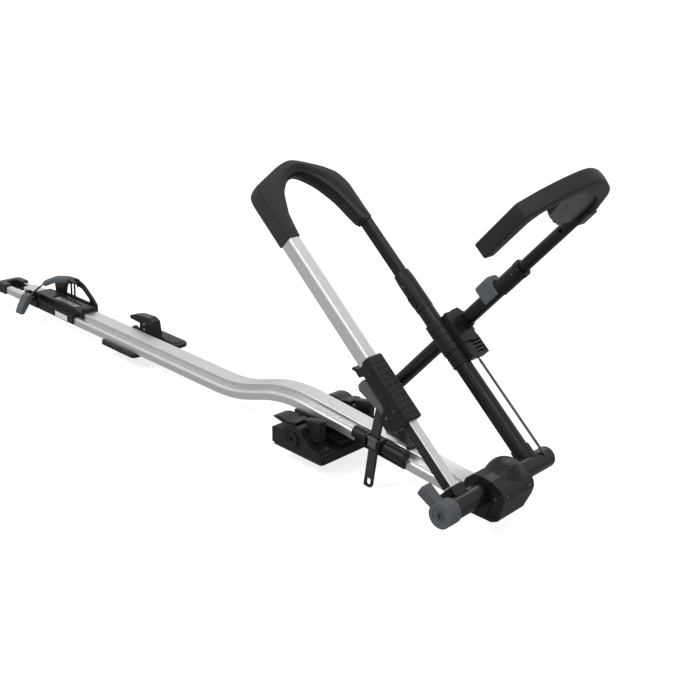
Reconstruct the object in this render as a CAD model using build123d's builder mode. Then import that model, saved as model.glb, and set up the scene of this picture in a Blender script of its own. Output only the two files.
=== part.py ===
from build123d import *
from math import cos, radians, sin, sqrt, tan
import os

os.makedirs("parts", exist_ok=True)

# Roof mounted bike carrier, in millimetres.
# The origin is the middle of the front foot's underside, +X runs forward to the head, +Y away
# from the end knob and +Z up.

# Layout of the whole carrier
head_reach = 383.0        # front foot to the cross tube's axis
axis_height = 60.0        # cross tube's axis above the feet
leg_angle = 40.0          # hoop legs above the horizontal, degrees
front_slope = 4.8         # fall of the rail's front stretch, degrees
overrun = 5.0             # how far a cut passes its face
fit = 0.1                 # fixed pieces that sit in one another
running_fit = 0.08        # turning pieces round a shaft
slide_fit = 0.3           # sliding pieces
plate_gap = 0.5           # between faces that pass each other

# Rail: a hat section, open below, bent over the front foot
rail_top = 40.7
rail_tail = 1132.0
plateau_tail = 1058.0
rail_joint = 310.0
low_bend = 254.0
crest = 107.5
crest_top = 89.8
low_bend_radius = 300.0
crest_radius = 310.0
rail_head_gap = 26.0
plateau_width = 36.0
plateau_drop = 13.0
bead_width = 62.0
rail_depth = 31.5
rail_wall = 2.2
rail_lip = 6.0
plateau_corner = 2.5
bead_corner = 6.0

# Tail cap
cap_reach = 33.0
cap_web = 18.0
cap_near_arm = 11.0
cap_far_arm = 11.0
cap_side = 3.0
cap_crown = 4.5
cap_floor = 2.2
cap_inner_wall = 3.0
cap_corner = 14.0
cap_slot_corner = 6.0
cap_edge = 3.0

# Cross tube and its ends
tube_diameter = 39.0
tube_wall = 3.0
tube_near = 128.0
tube_far = 157.5
tube_cap_thickness = 6.5
tube_cap_plug = 8.0
tube_cap_edge = 2.0
knob_diameter = 44.0
knob_length = 29.5
knob_plug = 12.0
knob_edge = 2.5
knob_recess = 1.2
knob_recess_radius = 14.5
wing_reach = 55.0
wing_root = 14.0
wing_tip = 22.0
wing_thickness = 18.0
wing_angle = 150.0
wing_corner = 4.0
wing_rib = 1.4
wing_rib_count = 5
lock_radius = 7.5
lock_length = 16.0
keyway_width = 2.0
keyway_length = 7.0
keyway_depth = 5.0

# Head: a lower body that holds the rail and the cross tube, and its top cover
head_width = 90.0
head_front = 47.0
head_drop = 44.0
head_corner = 4.0
head_lower_shares = [(-0.81, 0.07), (-0.81, -0.77), (-0.62, -1.0), (0.57, -1.0), (0.83, -0.86),
                     (1.0, 0.0), (0.947, 0.25)]
head_upper_shares = [(-0.81, 0.07), (0.947, 0.25), (0.81, 0.43), (0.38, 0.64), (0.0, 0.70),
                     (-0.43, 0.64), (-0.70, 0.36)]
head_cut_shares = [(0.49, -1.15), (1.15, -1.15), (1.15, -0.15), (1.0, -0.34)]
head_bulge_radius = 24.0
head_bulge_height = 42.0
head_bulge_forward = 4.0
head_bulge_side = 17.0
head_bulge_edge = 10.0
head_pocket_depth = 3.0
head_pocket_shares = [(0.30, -0.86), (0.72, -0.78), (0.88, -0.05), (0.86, 0.16), (0.50, 0.12),
                      (0.47, -0.20)]
head_socket_length = 14.0
screw_radius = 3.0
screw_length = 10.0
screw_proud = 0.6
head_screw_height = 6.8
head_screw_near = 34.2
head_screw_far = 30.8
side_bolt_forward = 28.0
side_bolt_drop = 0.6
side_bolt_radius = 3.6

# Front foot
foot_length = 130.0
foot_width = 186.0
foot_pad_thickness = 4.0
foot_floor = 14.0
foot_end_depth = 31.0
foot_corner = 7.0
foot_lip_height = 12.0
foot_lip_width = 4.0
boss_radius = 28.6
boss_back = 11.0
boss_height = 28.0
dial_radius = 14.5
dial_proud = 3.0
dial_socket = 5.0
axle_radius = 5.0
foot_end_shares = [(-0.508, 0.0), (-0.523, 0.50), (-0.49, 0.55), (-0.31, 0.55), (-0.20, 0.60),
                   (0.13, 0.60), (0.19, 0.50), (0.26, 0.335), (0.44, 0.335), (0.492, 0.06),
                   (0.492, 0.0)]
foot_end_height = 60.0
bracket_wall = 4.5
bracket_back = 66.0
bracket_front = 14.0
bracket_top_back = 54.0
bracket_top_front = 57.0
bracket_seat = 18.0
bracket_hole_radius = 3.0
bracket_hole_drop = 22.0
lever_gap = 0.6
front_lever_wall = 5.5
front_lever_width = 36.0
front_lever_beak_shares = [(-0.35, 0.90), (-0.80, 0.60), (-1.41, 0.60), (-1.64, 0.78), (-1.60, 0.86),
                           (-0.90, 1.02), (-0.35, 1.0)]

# Rear foot
rear_foot_place = 637.5
rear_foot_length = 125.0
rear_foot_near = 40.0
rear_foot_far = 72.0
rear_foot_pad = 2.5
rear_foot_corner = 10.0
rear_neck = 30.0
rear_tee = 54.0
rear_tee_height = 9.0
rear_lever_in = 39.5
rear_lever_depth = 21.0
rear_lever_height = 76.0
rear_lever_length = 125.0
rear_lever_shares = [(-0.14, 0.13), (-0.14, 0.60), (-0.42, 0.62), (-0.44, 0.72), (-0.20, 0.84),
                     (0.14, 0.88), (0.26, 0.80), (0.30, 0.50), (0.34, 0.13)]
rear_lever_corner = 2.5
rear_pin_radius = 3.0
rear_pin_height = 21.0
rear_ear = 8.0
rear_ear_radius = 6.0

# Rear wheel tray
tray_tail = 1000.0
tray_length = 181.0
tray_wall = 4.0
tray_skirt = 12.0
tray_near_top = 33.0
tray_floor = 3.0
window_start = 942.0
window_length = 99.0
window_width = 22.0
tray_far_wall = 6.0
tray_far_height = 93.0
tray_far_shares = [(-0.42, 0.30), (-0.45, 0.62), (-0.30, 0.88), (-0.10, 0.97), (0.08, 1.0),
                   (0.24, 0.90), (0.44, 0.64), (0.52, 0.50), (0.53, 0.36), (0.48, 0.30)]
tray_hole_shares = [(-0.20, 0.48), (-0.16, 0.74), (0.05, 0.85), (0.22, 0.78), (0.38, 0.58),
                    (0.38, 0.48)]
tray_middle = 912.0
tray_rib = 4.0
tray_rib_places = (-12.0, 2.0)
saddle_length = 24.0
saddle_rise = 7.0
label_length = 50.0
label_height = 13.0
label_thickness = 1.0
label_place = 865.0

# Rear strap: a flat ladder strap laid across the tray, with its rim pad and buckle
rear_strap_turn = 35.6
rear_strap_near = 1000.0
rear_strap_side = 48.0
rear_strap_width = 20.0
rear_strap_thickness = 3.0
rear_strap_reach = 140.0
rear_strap_top = 96.0
rear_strap_shares = [(0.145, 0.345), (0.145, 0.50), (0.37, 0.82), (0.58, 0.96), (0.80, 0.98), (0.985, 0.87),
                     (0.985, 0.80)]
rear_strap_bend = 6.0
rim_pad_width = 24.0
rim_pad_depth = 13.0
rim_pad_shares = [(0.36, 0.72), (0.385, 0.80), (0.58, 0.935), (0.80, 0.955), (0.83, 0.92), (0.82, 0.83),
                  (0.60, 0.81), (0.45, 0.70)]
buckle_length = 34.0
buckle_place = 984.0
buckle_out = 10.0
buckle_base = 14.0
buckle_top = 52.0
buckle_cheek = 4.5
buckle_pin_radius = 2.5
buckle_pin_height = 44.0
buckle_pin_out = 8.0
buckle_lever_shares = [(0.10, 0.10), (0.32, 0.06), (0.70, -0.60), (0.86, -1.0), (0.62, -1.04),
                       (0.34, -0.66), (0.02, -0.12)]
buckle_lever_reach = 40.0

# Front strap on the rail's near bead
strap_bracket_start = 93.0
strap_window_start = 129.0
strap_window = 36.0
strap_bracket_end = 214.0
strap_bracket_radius = 12.0
strap_bracket_side = 35.0
strap_bracket_drop = 8.0
strap_cheek = 4.0
strap_base = 3.0
front_strap_width = 21.0
front_strap_thickness = 3.0
front_strap_side = 43.5
front_strap_tail = 98.0
front_strap_rise = 80.0
front_strap_far = 37.0
front_strap_bend = 9.0
strap_rib = 0.7
strap_rib_pitch = 3.6
strap_rib_count = 22
strap_hole_width = 9.0
strap_hole_length = 16.0
strap_end_radius = 9.5
tab_width = 19.0
tab_thickness = 3.5
tab_length = 17.0
tab_pin_radius = 1.8
tab_pin_rise = 5.0
tab_pin_side = 50.0

# Wheel stop on the plateau
chock_end = 208.0
chock_thickness = 5.0
chock_shares = [(0.60, 1.0), (0.60, 0.33), (0.67, -0.03), (0.80, -0.055), (0.88, -0.14), (0.93, -0.25),
                (0.965, -0.5), (1.0, -0.5), (1.0, 1.0)]
chock_side = 38.0

# Near leg: a telescopic pair
near_leg_side = 99.5
inner_leg_start = 20.0
inner_leg_end = 480.0
inner_leg_width = 19.4
inner_leg_height = 21.0
inner_leg_wall = 2.0
inner_leg_corner = 2.5
inner_leg_inset = 1.0
saddle_block = 31.0
saddle_start = 8.0
saddle_side = 31.0
saddle_depth = 32.0
rack_width = 17.0
rack_plate = 1.2
rack_tooth = 1.0
rack_pitch = 4.4
rack_teeth = 44
rack_start = 34.0
outer_leg_start = 157.0
outer_leg_end = 600.0
outer_leg_width = 27.0
outer_leg_height = 29.0
outer_leg_wall = 1.8
outer_leg_corner = 5.0

# Ratchet housing at the outer tube's foot
housing_length = 129.0
housing_wall = 5.0
housing_edge = 4.0
housing_top = 21.0
housing_low = 2.0
housing_rib = 1.2
housing_rib_pitch = 11.2
housing_rib_width = 2.4
housing_ribs = 10
cheek_shares = [(-0.02, -0.30), (0.04, 0.40), (0.96, 0.30), (0.96, -0.56), (0.87, -0.56), (0.84, -0.29),
                (0.43, -0.29), (0.34, -0.36), (0.29, -0.62), (0.27, -0.95), (0.10, -0.95)]
cheek_drop = 38.0
pump_pin_place = 186.0
pump_pin_drop = 20.0
pump_pin_radius = 2.5
pump_hub_radius = 4.6
pump_reach = 78.0
pump_depth = 24.0
pump_shares = [(-0.04, 0.14), (0.10, 0.18), (0.45, 0.08), (0.90, 0.12), (1.0, -0.16), (0.99, -0.76),
               (0.88, -0.98), (0.45, -0.64), (0.15, -0.34), (-0.04, -0.18)]
pump_corner = 2.0
tab_place = 275.0
tab_drop = 18.6
tab_hub_radius = 3.4
tab_hub_pin = 1.5
tab_finger = 17.0
tab_finger_shares = [(0.0, 0.24), (0.5, 0.0), (1.05, -0.45), (1.0, -0.72), (0.4, -0.42), (-0.1, -0.24)]
housing_screw_radius = 2.6
housing_screw_places = [(186.0, 4.0), (262.0, 2.0)]

# Hoop head: inner frame, padded cover and its liner
cover_reach = 702.0
cover_half_width = 116.0
cover_depth = 32.0
cover_edge = 7.0
cover_outer_shares = [(0.769, -1.0), (0.915, -0.995), (0.936, -0.93), (0.984, -0.30), (0.996, -0.09),
                      (1.0, 0.05), (0.991, 0.25), (0.966, 0.63), (0.940, 0.87), (0.905, 0.965),
                      (0.783, 1.0)]
cover_inner_shares = [(0.783, 0.84), (0.812, 0.77), (0.872, 0.665), (0.925, 0.475), (0.960, 0.20),
                      (0.964, 0.05), (0.949, -0.21), (0.902, -0.48), (0.829, -0.68), (0.769, -0.735)]
liner_thickness = 3.0
liner_inset = 3.0
liner_mark = 0.8
frame_bar = 10.0
frame_depth = 16.0
frame_plug = 8.0
frame_shares = [(0.905, -0.80), (0.952, -0.40), (0.980, -0.09), (0.982, 0.09), (0.974, 0.27),
                (0.948, 0.62), (0.915, 0.82)]
frame_bend = 8.0

# Far leg: round tube, sleeve and flat bar
far_leg_side = 106.5
far_leg_start = 22.0
far_leg_end = 342.0
far_leg_diameter = 32.0
far_leg_wall = 2.0
far_socket_end = 36.0
far_socket_side = 37.0
sleeve_length = 82.0
sleeve_diameter = 34.0
sleeve_mouth = 31.0
sleeve_taper = 16.0
bar_width = 18.0
bar_height = 20.0
bar_wall = 2.0
bar_corner = 2.0
bar_start = 300.0
bar_end = 560.0
sleeve_button_place = 364.0
sleeve_button_length = 27.0
sleeve_button_width = 12.0
sleeve_button_drop = 2.0
sleeve_button_proud = 1.6
sleeve_button_depth = 4.0
sleeve_button_travel = 1.5
sleeve_screw_place = 397.0
sleeve_screw_radius = 2.6

# Collar, louvred housing and rod on the far leg
collar_start = 216.0
collar_length = 30.0
collar_radius = 19.0
collar_rib = 1.2
collar_rib_width = 3.0
collar_ribs = 5
lock_body_length = 64.0
lock_body_radius = 20.0
lock_body_top = 30.5
lock_body_low = 19.0
lock_body_face = 123.8
lock_groove = 0.8
hood_start = 214.0
hood_end = 253.0
hood_far = 155.0
hood_under = 12.0
hood_corner = 3.0
louvre_count = 4
louvre_pitch = 7.4
louvre_width = 3.0
louvre_depth = 9.0
pivot_radius = 12.0
pivot_spigot = 2.0
rod_side = 130.0
rod_height = 20.5
rod_radius = 1.5
rod_socket = 8.0

# Hook arm
arm_place = 283.0
arm_side = 141.0
arm_tail = 206.0
arm_end = 140.5
arm_diameter = 28.0
arm_wall = 2.0
arm_plug_thickness = 4.0
arm_plug_depth = 10.0
hub_radius = 22.0
hub_far = 156.5
hub_riser_back = 21.0
hub_riser_front = 23.0
plate_thickness = 4.0
plate_shares = [(-0.92, -0.97), (0.69, -0.92), (0.77, 0.08), (0.49, 0.29), (-0.87, 0.16), (-1.0, -0.28)]
plate_reach = 39.0
boss_round_radius = 16.6
boss_round_end = 42.0
arm_sleeve_length = 62.0
arm_sleeve_diameter = 31.5
arm_sleeve_ridge = 1.0
arm_sleeve_ridge_width = 3.0
arm_screw_place = 186.0
arm_screw_radius = 2.4
grip_block_start = 101.0
grip_block_length = 39.0
grip_block_top = 29.0
grip_block_low = 8.6
grip_block_half = 16.6
grip_block_travel = 3.0
grip_block_corner = 8.0
grip_block_edge = 4.0

# Hook
hook_bar_diameter = 22.0
hook_bar_wall = 2.0
hook_bar_start = 60.0
hook_bar_end = 370.0
hook_hole_place = 309.0
hook_hole_radius = 3.2
hook_width = 27.5
hook_reach = 478.0
hook_half = 107.0
hook_edge = 6.0
hook_corner = 5.0
hook_pad_shares = [(0.778, 1.38), (0.906, 1.10), (0.983, 0.47), (1.0, 0.14), (0.962, -0.33), (0.923, -0.67),
                   (0.870, -1.0), (0.661, -1.0), (0.665, -0.776), (0.835, -0.748), (0.872, -0.645),
                   (0.902, -0.42), (0.923, -0.19), (0.933, 0.084), (0.866, 0.944), (0.812, 1.14),
                   (0.778, 1.19)]
hook_web_shares = [(0.724, 1.16), (0.724, 0.655), (0.764, 0.327), (0.820, -0.075), (0.918, -0.15),
                   (0.940, 0.09), (0.873, 0.96), (0.82, 1.155), (0.778, 1.20)]
hook_web_width = 12.0
hook_socket_start = 340.0
hook_socket_half = 15.5


# Derived places
slope = radians(front_slope)
leg = radians(leg_angle)
tube_radius = tube_diameter / 2
bore_radius = tube_radius + running_fit
plateau_half = plateau_width / 2
bead_half = bead_width / 2
rail_end = head_reach - rail_head_gap
rail_under = rail_top - rail_depth
along = Vector(-cos(leg), 0, sin(leg))
above = Vector(sin(leg), 0, cos(leg))
axis_point = Vector(head_reach, 0, axis_height)
forward = Vector(cos(slope), 0, -sin(slope))
front_up = Vector(sin(slope), 0, cos(slope))
front_origin = Vector(0, 0, crest_top - crest * tan(slope))


def front_height(x):
    """Height of the plateau on the rail's front stretch."""
    return crest_top - (x + crest) * tan(slope)


def scaled(shares, across, up, start=(0, 0)):
    """An outline's points, from shares of two sizes."""
    return [(start[0] + a * across, start[1] + b * up) for a, b in shares]


def side_at(y):
    """Upright plane along the carrier: X to the right, Z up, facing the near side."""
    return Plane(origin=(0, y, 0), x_dir=(1, 0, 0), z_dir=(0, -1, 0))


def leg_top(height):
    """Plane of the hoop's legs: along the legs, then towards the near side."""
    return Plane(origin=axis_point + above * height, x_dir=along, z_dir=above)


def leg_side(y):
    """Upright plane through the legs' direction: along the legs, then out of the hoop's plane."""
    return Plane(origin=axis_point + Vector(0, y, 0), x_dir=along, z_dir=(0, 1, 0))


def leg_cut(place):
    """Section across the legs: towards the near side, then out of the hoop's plane."""
    return Plane(origin=axis_point + along * place, x_dir=(0, -1, 0), z_dir=along)


def front_cut(place):
    """Section across the rail's front stretch: +Y to the right, out of the plateau upwards."""
    return Plane(origin=front_origin + forward * place, x_dir=(0, 1, 0), z_dir=forward)


def front_face(height):
    """Plane of the front stretch's plateau: forward, then +Y."""
    return Plane(origin=front_origin + front_up * height, x_dir=forward, z_dir=front_up)


def front_side(y):
    """Upright plane along the front stretch, for profiles in forward and up."""
    return Plane(origin=front_origin + Vector(0, y, 0), x_dir=forward, z_dir=(0, -1, 0))


def profile(plane, points, radius=0):
    """A closed outline on a plane, its corners rounded."""
    with BuildSketch(plane) as made:
        with BuildLine():
            if radius:
                FilletPolyline(*points, radius=radius, close=True)
            else:
                Polyline(*points, close=True)
        make_face()
    return made.sketch


def slab(plane, points, thickness, radius=0, mode=Mode.ADD):
    """An outline made thick to both sides of its plane."""
    extrude(profile(plane, points, radius), amount=thickness / 2, both=True, mode=mode)


def disc(plane, centre, radius, thickness, mode=Mode.ADD):
    """A round bar centred on a plane."""
    with BuildSketch(plane) as made:
        with Locations(centre):
            Circle(radius)
    extrude(made.sketch, amount=thickness / 2, both=True, mode=mode)


def block(plane, centre, width, height, thickness, corner=0, mode=Mode.ADD):
    """A rectangular bar centred on a plane."""
    with BuildSketch(plane) as made:
        with Locations(centre):
            if corner:
                RectangleRounded(width, height, corner)
            else:
                Rectangle(width, height)
    extrude(made.sketch, amount=thickness / 2, both=True, mode=mode)


def cuboid(x0, x1, y0, y1, z0, z1, mode=Mode.ADD):
    """A box between two corners."""
    with Locations(((x0 + x1) / 2, (y0 + y1) / 2, (z0 + z1) / 2)):
        Box(x1 - x0, y1 - y0, z1 - z0, mode=mode)


def rail_path_points():
    return [(-rail_tail, rail_top), (-low_bend, rail_top), (-crest, crest_top),
            (rail_end, front_height(rail_end))]


def hat_solid(level, grow):
    """The rail's section filled solid and grown by a clearance."""
    right = [(plateau_half + grow, level + grow), (plateau_half + grow, level - plateau_drop + grow),
             (bead_half + grow, level - plateau_drop + grow), (bead_half + grow, level - rail_depth - grow)]
    return right + [(-y, z) for y, z in reversed(right)]


# Space that the rail takes, with a clearance, for what is cut round it
with BuildPart() as rail_space:
    with BuildLine(Plane.XZ) as space_path:
        FilletPolyline(*rail_path_points(), radius=(low_bend_radius, crest_radius))
    with BuildSketch(Plane.YZ.offset(-rail_tail)) as space_section:
        with BuildLine():
            Polyline(*hat_solid(rail_top, fit), close=True)
        make_face()
    sweep(space_section.sketch, path=space_path.line)

with BuildPart() as slide_space:
    with BuildSketch(Plane.YZ) as slide_section:
        with BuildLine():
            Polyline(*hat_solid(rail_top, slide_fit), close=True)
        make_face()
    extrude(slide_section.sketch, amount=rail_tail, dir=(-1, 0, 0))


# Rail: the slide behind, the bent front stretch, and the two side strips left at the tail
channel_half = [
    (plateau_half, 0, plateau_corner),
    (plateau_half, -plateau_drop, 0),
    (bead_half, -plateau_drop, bead_corner),
    (bead_half, -rail_depth, 0),
    (bead_half - rail_lip, -rail_depth, 0),
    (bead_half - rail_lip, -rail_depth + rail_wall, 0),
    (bead_half - rail_wall, -rail_depth + rail_wall, 0),
    (bead_half - rail_wall, -plateau_drop - rail_wall, bead_corner - rail_wall),
    (plateau_half - rail_wall, -plateau_drop - rail_wall, 0),
    (plateau_half - rail_wall, -rail_wall, 0),
]
channel = channel_half + [(-y, z, r) for y, z, r in reversed(channel_half)]
with BuildPart() as rail_whole:
    with BuildLine(Plane.XZ) as rail_path:
        FilletPolyline(*rail_path_points(), radius=(low_bend_radius, crest_radius))
    with BuildSketch(Plane.YZ.offset(-rail_tail)) as rail_section:
        with BuildLine():
            FilletPolyline(*[(y, rail_top + z) for y, z, r in channel],
                           radius=[r for y, z, r in channel], close=True)
        make_face()
    sweep(rail_section.sketch, path=rail_path.line)

with BuildPart() as rail:
    add(rail_whole.part)
    cuboid(-rail_joint, head_reach, -bead_width, bead_width, -overrun, head_reach, mode=Mode.SUBTRACT)
    cuboid(-rail_tail - overrun, -plateau_tail, -bead_width, bead_width, -overrun, head_reach,
           mode=Mode.SUBTRACT)
rail.part.label = "rail"
export_step(rail.part, "parts/rail.step")

with BuildPart() as rail_front:
    add(rail_whole.part)
    cuboid(-rail_tail - overrun, -rail_joint, -bead_width, bead_width, -overrun, head_reach,
           mode=Mode.SUBTRACT)
rail_front.part.label = "rail_front"
export_step(rail_front.part, "parts/rail_front.step")

for name, side in (("rail_tail_near", -1), ("rail_tail_far", 1)):
    with BuildPart() as rail_strip:
        add(rail_whole.part)
        cuboid(-plateau_tail, head_reach, -bead_width, bead_width, -overrun, head_reach, mode=Mode.SUBTRACT)
        cuboid(-rail_tail - overrun, head_reach, min(side * plateau_half, -side * bead_width),
               max(side * plateau_half, -side * bead_width), -overrun, head_reach, mode=Mode.SUBTRACT)
    rail_strip.part.label = name
    export_step(rail_strip.part, f"parts/{name}.step")

# Tail cap: a rounded U whose arms close over the two bead ends
cap_half = bead_half + cap_side
cap_slot = plateau_half - cap_inner_wall
cap_bottom = rail_under - cap_floor
cap_height = rail_top - plateau_drop + cap_crown - cap_bottom
with BuildPart() as tail_cap:
    with BuildSketch(Plane.XY.offset(cap_bottom)):
        with BuildLine():
            FilletPolyline((-rail_tail - cap_reach, -cap_half), (-rail_tail + cap_near_arm, -cap_half),
                           (-rail_tail + cap_near_arm, -cap_slot),
                           (-rail_tail - cap_reach + cap_web, -cap_slot),
                           (-rail_tail - cap_reach + cap_web, cap_slot),
                           (-rail_tail + cap_far_arm, cap_slot), (-rail_tail + cap_far_arm, cap_half),
                           (-rail_tail - cap_reach, cap_half),
                           radius=(cap_corner, cap_edge, cap_edge, cap_slot_corner, cap_slot_corner,
                                   cap_edge, cap_edge, cap_corner), close=True)
        make_face()
    extrude(amount=cap_height)
    fillet(tail_cap.faces().sort_by(Axis.Z)[-1].edges(), radius=cap_edge)
    for side in (-1, 1):
        cuboid(-rail_tail - fit, -rail_tail + cap_far_arm + overrun,
               side * (plateau_half + bead_half) / 2 - (bead_half - plateau_half) / 2 - fit,
               side * (plateau_half + bead_half) / 2 + (bead_half - plateau_half) / 2 + fit,
               rail_under - fit, rail_top - plateau_drop + fit, mode=Mode.SUBTRACT)
tail_cap.part.label = "tail_cap"
export_step(tail_cap.part, "parts/tail_cap.step")

# Head
head_at = (head_reach, axis_height)
head_screw_x = head_reach + head_front * (1 - (1 - head_lower_shares[-1][0]) * head_screw_height
                                          / (head_lower_shares[-1][1] * head_drop))
with BuildPart() as head_lower:
    slab(side_at(0), scaled(head_lower_shares, head_front, head_drop, head_at), head_width,
         radius=(0, head_corner, head_corner, head_corner, head_corner, head_corner, 0))
    slab(Plane.YZ.offset(head_reach), scaled(head_cut_shares, head_width / 2, head_drop, (0, axis_height)),
         head_width + head_front, mode=Mode.SUBTRACT)
    disc(side_at(0), head_at, bore_radius, head_width + overrun, mode=Mode.SUBTRACT)
    slab(side_at(-head_width / 2), scaled(head_pocket_shares, head_front, head_drop, head_at),
         2 * head_pocket_depth, radius=head_corner / 2, mode=Mode.SUBTRACT)
    slab(front_cut(rail_end / cos(slope) - head_socket_length + fit), hat_solid(0, fit),
         2 * head_socket_length, mode=Mode.SUBTRACT)
    for y in (-head_screw_near, head_screw_far):
        disc(Plane.YZ.offset(head_screw_x), (y, axis_height + head_screw_height), screw_radius + fit,
             2 * screw_length, mode=Mode.SUBTRACT)
    disc(side_at(-head_width / 2 + head_pocket_depth),
         (head_reach + side_bolt_forward, axis_height - side_bolt_drop), side_bolt_radius + fit,
         2 * screw_length, mode=Mode.SUBTRACT)
head_lower.part.label = "head_lower"
export_step(head_lower.part, "parts/head_lower.step")

with BuildPart() as head_upper:
    slab(side_at(0), scaled(head_upper_shares, head_front, head_drop, head_at), head_width,
         radius=(0, 0, head_corner, head_corner, head_corner, head_corner, head_corner))
    with BuildSketch(Plane.XY.offset(axis_height + head_bulge_height / 2)):
        with Locations((head_reach + head_bulge_forward, head_bulge_side)):
            Circle(head_bulge_radius)
    extrude(amount=head_bulge_height / 2)
    fillet(head_upper.faces().sort_by(Axis.Z)[-1].edges(), radius=head_bulge_edge)
    disc(side_at(0), head_at, bore_radius, head_width + overrun, mode=Mode.SUBTRACT)
    slab(front_cut(rail_end / cos(slope) - head_socket_length + fit), hat_solid(0, fit),
         2 * head_socket_length, mode=Mode.SUBTRACT)
head_upper.part.label = "head_upper"
export_step(head_upper.part, "parts/head_upper.step")

with BuildPart() as head_screws:
    for y in (-head_screw_near, head_screw_far):
        disc(Plane.YZ.offset(head_screw_x - screw_length / 2 + screw_proud / 2),
             (y, axis_height + head_screw_height), screw_radius, screw_length + screw_proud)
    disc(side_at(-head_width / 2 + head_pocket_depth + screw_length / 2 - screw_proud / 2),
         (head_reach + side_bolt_forward, axis_height - side_bolt_drop), side_bolt_radius,
         screw_length + screw_proud)
head_screws.part.label = "head_screws"
export_step(head_screws.part, "parts/head_screws.step")

# Wheel stop: a black plate over the plateau, with a flange down the far side
with BuildPart() as wheel_stop:
    slab(front_face(fit + chock_thickness / 2), scaled(chock_shares, chock_end, chock_side), chock_thickness)
    block(front_cut(chock_end * (chock_shares[0][0] + 1) / 2),
          ((plateau_half + chock_side) / 2 + fit, (fit - plateau_drop + fit) / 2),
          chock_side - plateau_half - 2 * fit, plateau_drop - fit + fit,
          chock_end * (1 - chock_shares[0][0]))
    add(rail_space.part, mode=Mode.SUBTRACT)
wheel_stop.part.label = "wheel_stop"
export_step(wheel_stop.part, "parts/wheel_stop.step")

# Front foot: base, rubber pad, rail bracket, clamp axle with its dials, and two levers
foot_half = foot_width / 2
boss_at = (-boss_back, boss_height)
end_mid = foot_half - foot_end_depth / 2
with BuildPart() as front_foot_base:
    with BuildSketch(Plane.XY.offset(foot_pad_thickness)):
        RectangleRounded(foot_length, foot_width, foot_corner)
    extrude(amount=foot_floor)
    for side in (-1, 1):
        slab(side_at(side * end_mid), scaled(foot_end_shares, foot_length, foot_end_height,
                                             (0, foot_pad_thickness)), foot_end_depth)
        disc(side_at(side * end_mid), boss_at, boss_radius, foot_end_depth)
    lip_far = bead_half + bracket_wall + fit + foot_lip_width
    cuboid(-foot_length, foot_length, -foot_width, foot_width, -foot_width, foot_pad_thickness,
           mode=Mode.SUBTRACT)
    cuboid(bracket_front, foot_length / 2 - foot_corner, -lip_far, lip_far,
           foot_pad_thickness + foot_floor, foot_pad_thickness + foot_floor + foot_lip_height)
    disc(side_at(0), boss_at, axle_radius + fit, foot_width + overrun, mode=Mode.SUBTRACT)
    for side in (-1, 1):
        disc(side_at(side * foot_half), boss_at, dial_radius + fit, 2 * dial_socket, mode=Mode.SUBTRACT)
    add(rail_space.part, mode=Mode.SUBTRACT)
front_foot_base.part.label = "front_foot_base"
export_step(front_foot_base.part, "parts/front_foot_base.step")

with BuildPart() as front_foot_pad:
    with BuildSketch(Plane.XY):
        RectangleRounded(foot_length, foot_width, foot_corner)
    extrude(amount=foot_pad_thickness)
front_foot_pad.part.label = "front_foot_pad"
export_step(front_foot_pad.part, "parts/front_foot_pad.step")

bracket_floor = foot_pad_thickness + foot_floor
with BuildPart() as front_rail_bracket:
    for side in (-1, 1):
        slab(side_at(side * (bead_half + fit + bracket_wall / 2)),
             [(-bracket_back, bracket_top_back), (bracket_front, bracket_top_front),
              (bracket_front, bracket_floor), (-bracket_back / 2, bracket_floor),
              (-bracket_back, (bracket_floor + bracket_top_back) / 2)], bracket_wall,
             radius=(0, bracket_wall, 0, 0, bracket_wall))
    cuboid(-bracket_back / 2, bracket_front, -bead_half - fit, bead_half + fit,
           bracket_floor, rail_under + rail_depth)
    disc(side_at(0), boss_at, axle_radius + fit, foot_width, mode=Mode.SUBTRACT)
    disc(side_at(0), (0, bracket_top_front - bracket_hole_drop), bracket_hole_radius,
         foot_width, mode=Mode.SUBTRACT)
    add(rail_space.part, mode=Mode.SUBTRACT)
front_rail_bracket.part.label = "front_rail_bracket"
export_step(front_rail_bracket.part, "parts/front_rail_bracket.step")

with BuildPart() as clamp_axle:
    disc(side_at(0), boss_at, axle_radius, foot_width - 2 * dial_socket)
    for side in (-1, 1):
        disc(side_at(side * (foot_half + (dial_proud - dial_socket) / 2)), boss_at, dial_radius,
             dial_socket + dial_proud)
        with BuildSketch(side_at(side * (foot_half + dial_proud))) as dial_hex:
            with Locations(boss_at):
                RegularPolygon(axle_radius, 6)
        extrude(dial_hex.sketch, amount=dial_proud, both=True, mode=Mode.SUBTRACT)
clamp_axle.part.label = "clamp_axle"
export_step(clamp_axle.part, "parts/clamp_axle.step")

lever_inner = boss_radius + lever_gap
lever_outer = lever_inner + front_lever_wall
for name, side in (("front_lever_near", -1), ("front_lever_far", 1)):
    with BuildPart() as front_lever:
        mid = side * (foot_half - foot_end_depth - lever_gap - front_lever_width / 2 + foot_end_depth)
        slab(side_at(mid), scaled(front_lever_beak_shares, lever_outer, lever_outer, boss_at),
             front_lever_width)
        disc(side_at(mid), boss_at, lever_outer, front_lever_width)
        disc(side_at(mid), boss_at, lever_inner, front_lever_width + overrun, mode=Mode.SUBTRACT)
        cuboid(-boss_back + front_lever_wall, foot_length, mid - front_lever_width,
               mid + front_lever_width, 0, foot_length, mode=Mode.SUBTRACT)
        cuboid(-foot_length, foot_length, mid - front_lever_width, mid + front_lever_width,
               -boss_height, foot_pad_thickness + foot_end_height * foot_end_shares[4][1] + lever_gap,
               mode=Mode.SUBTRACT)
    front_lever.part.label = name
    export_step(front_lever.part, f"parts/{name}.step")

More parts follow.
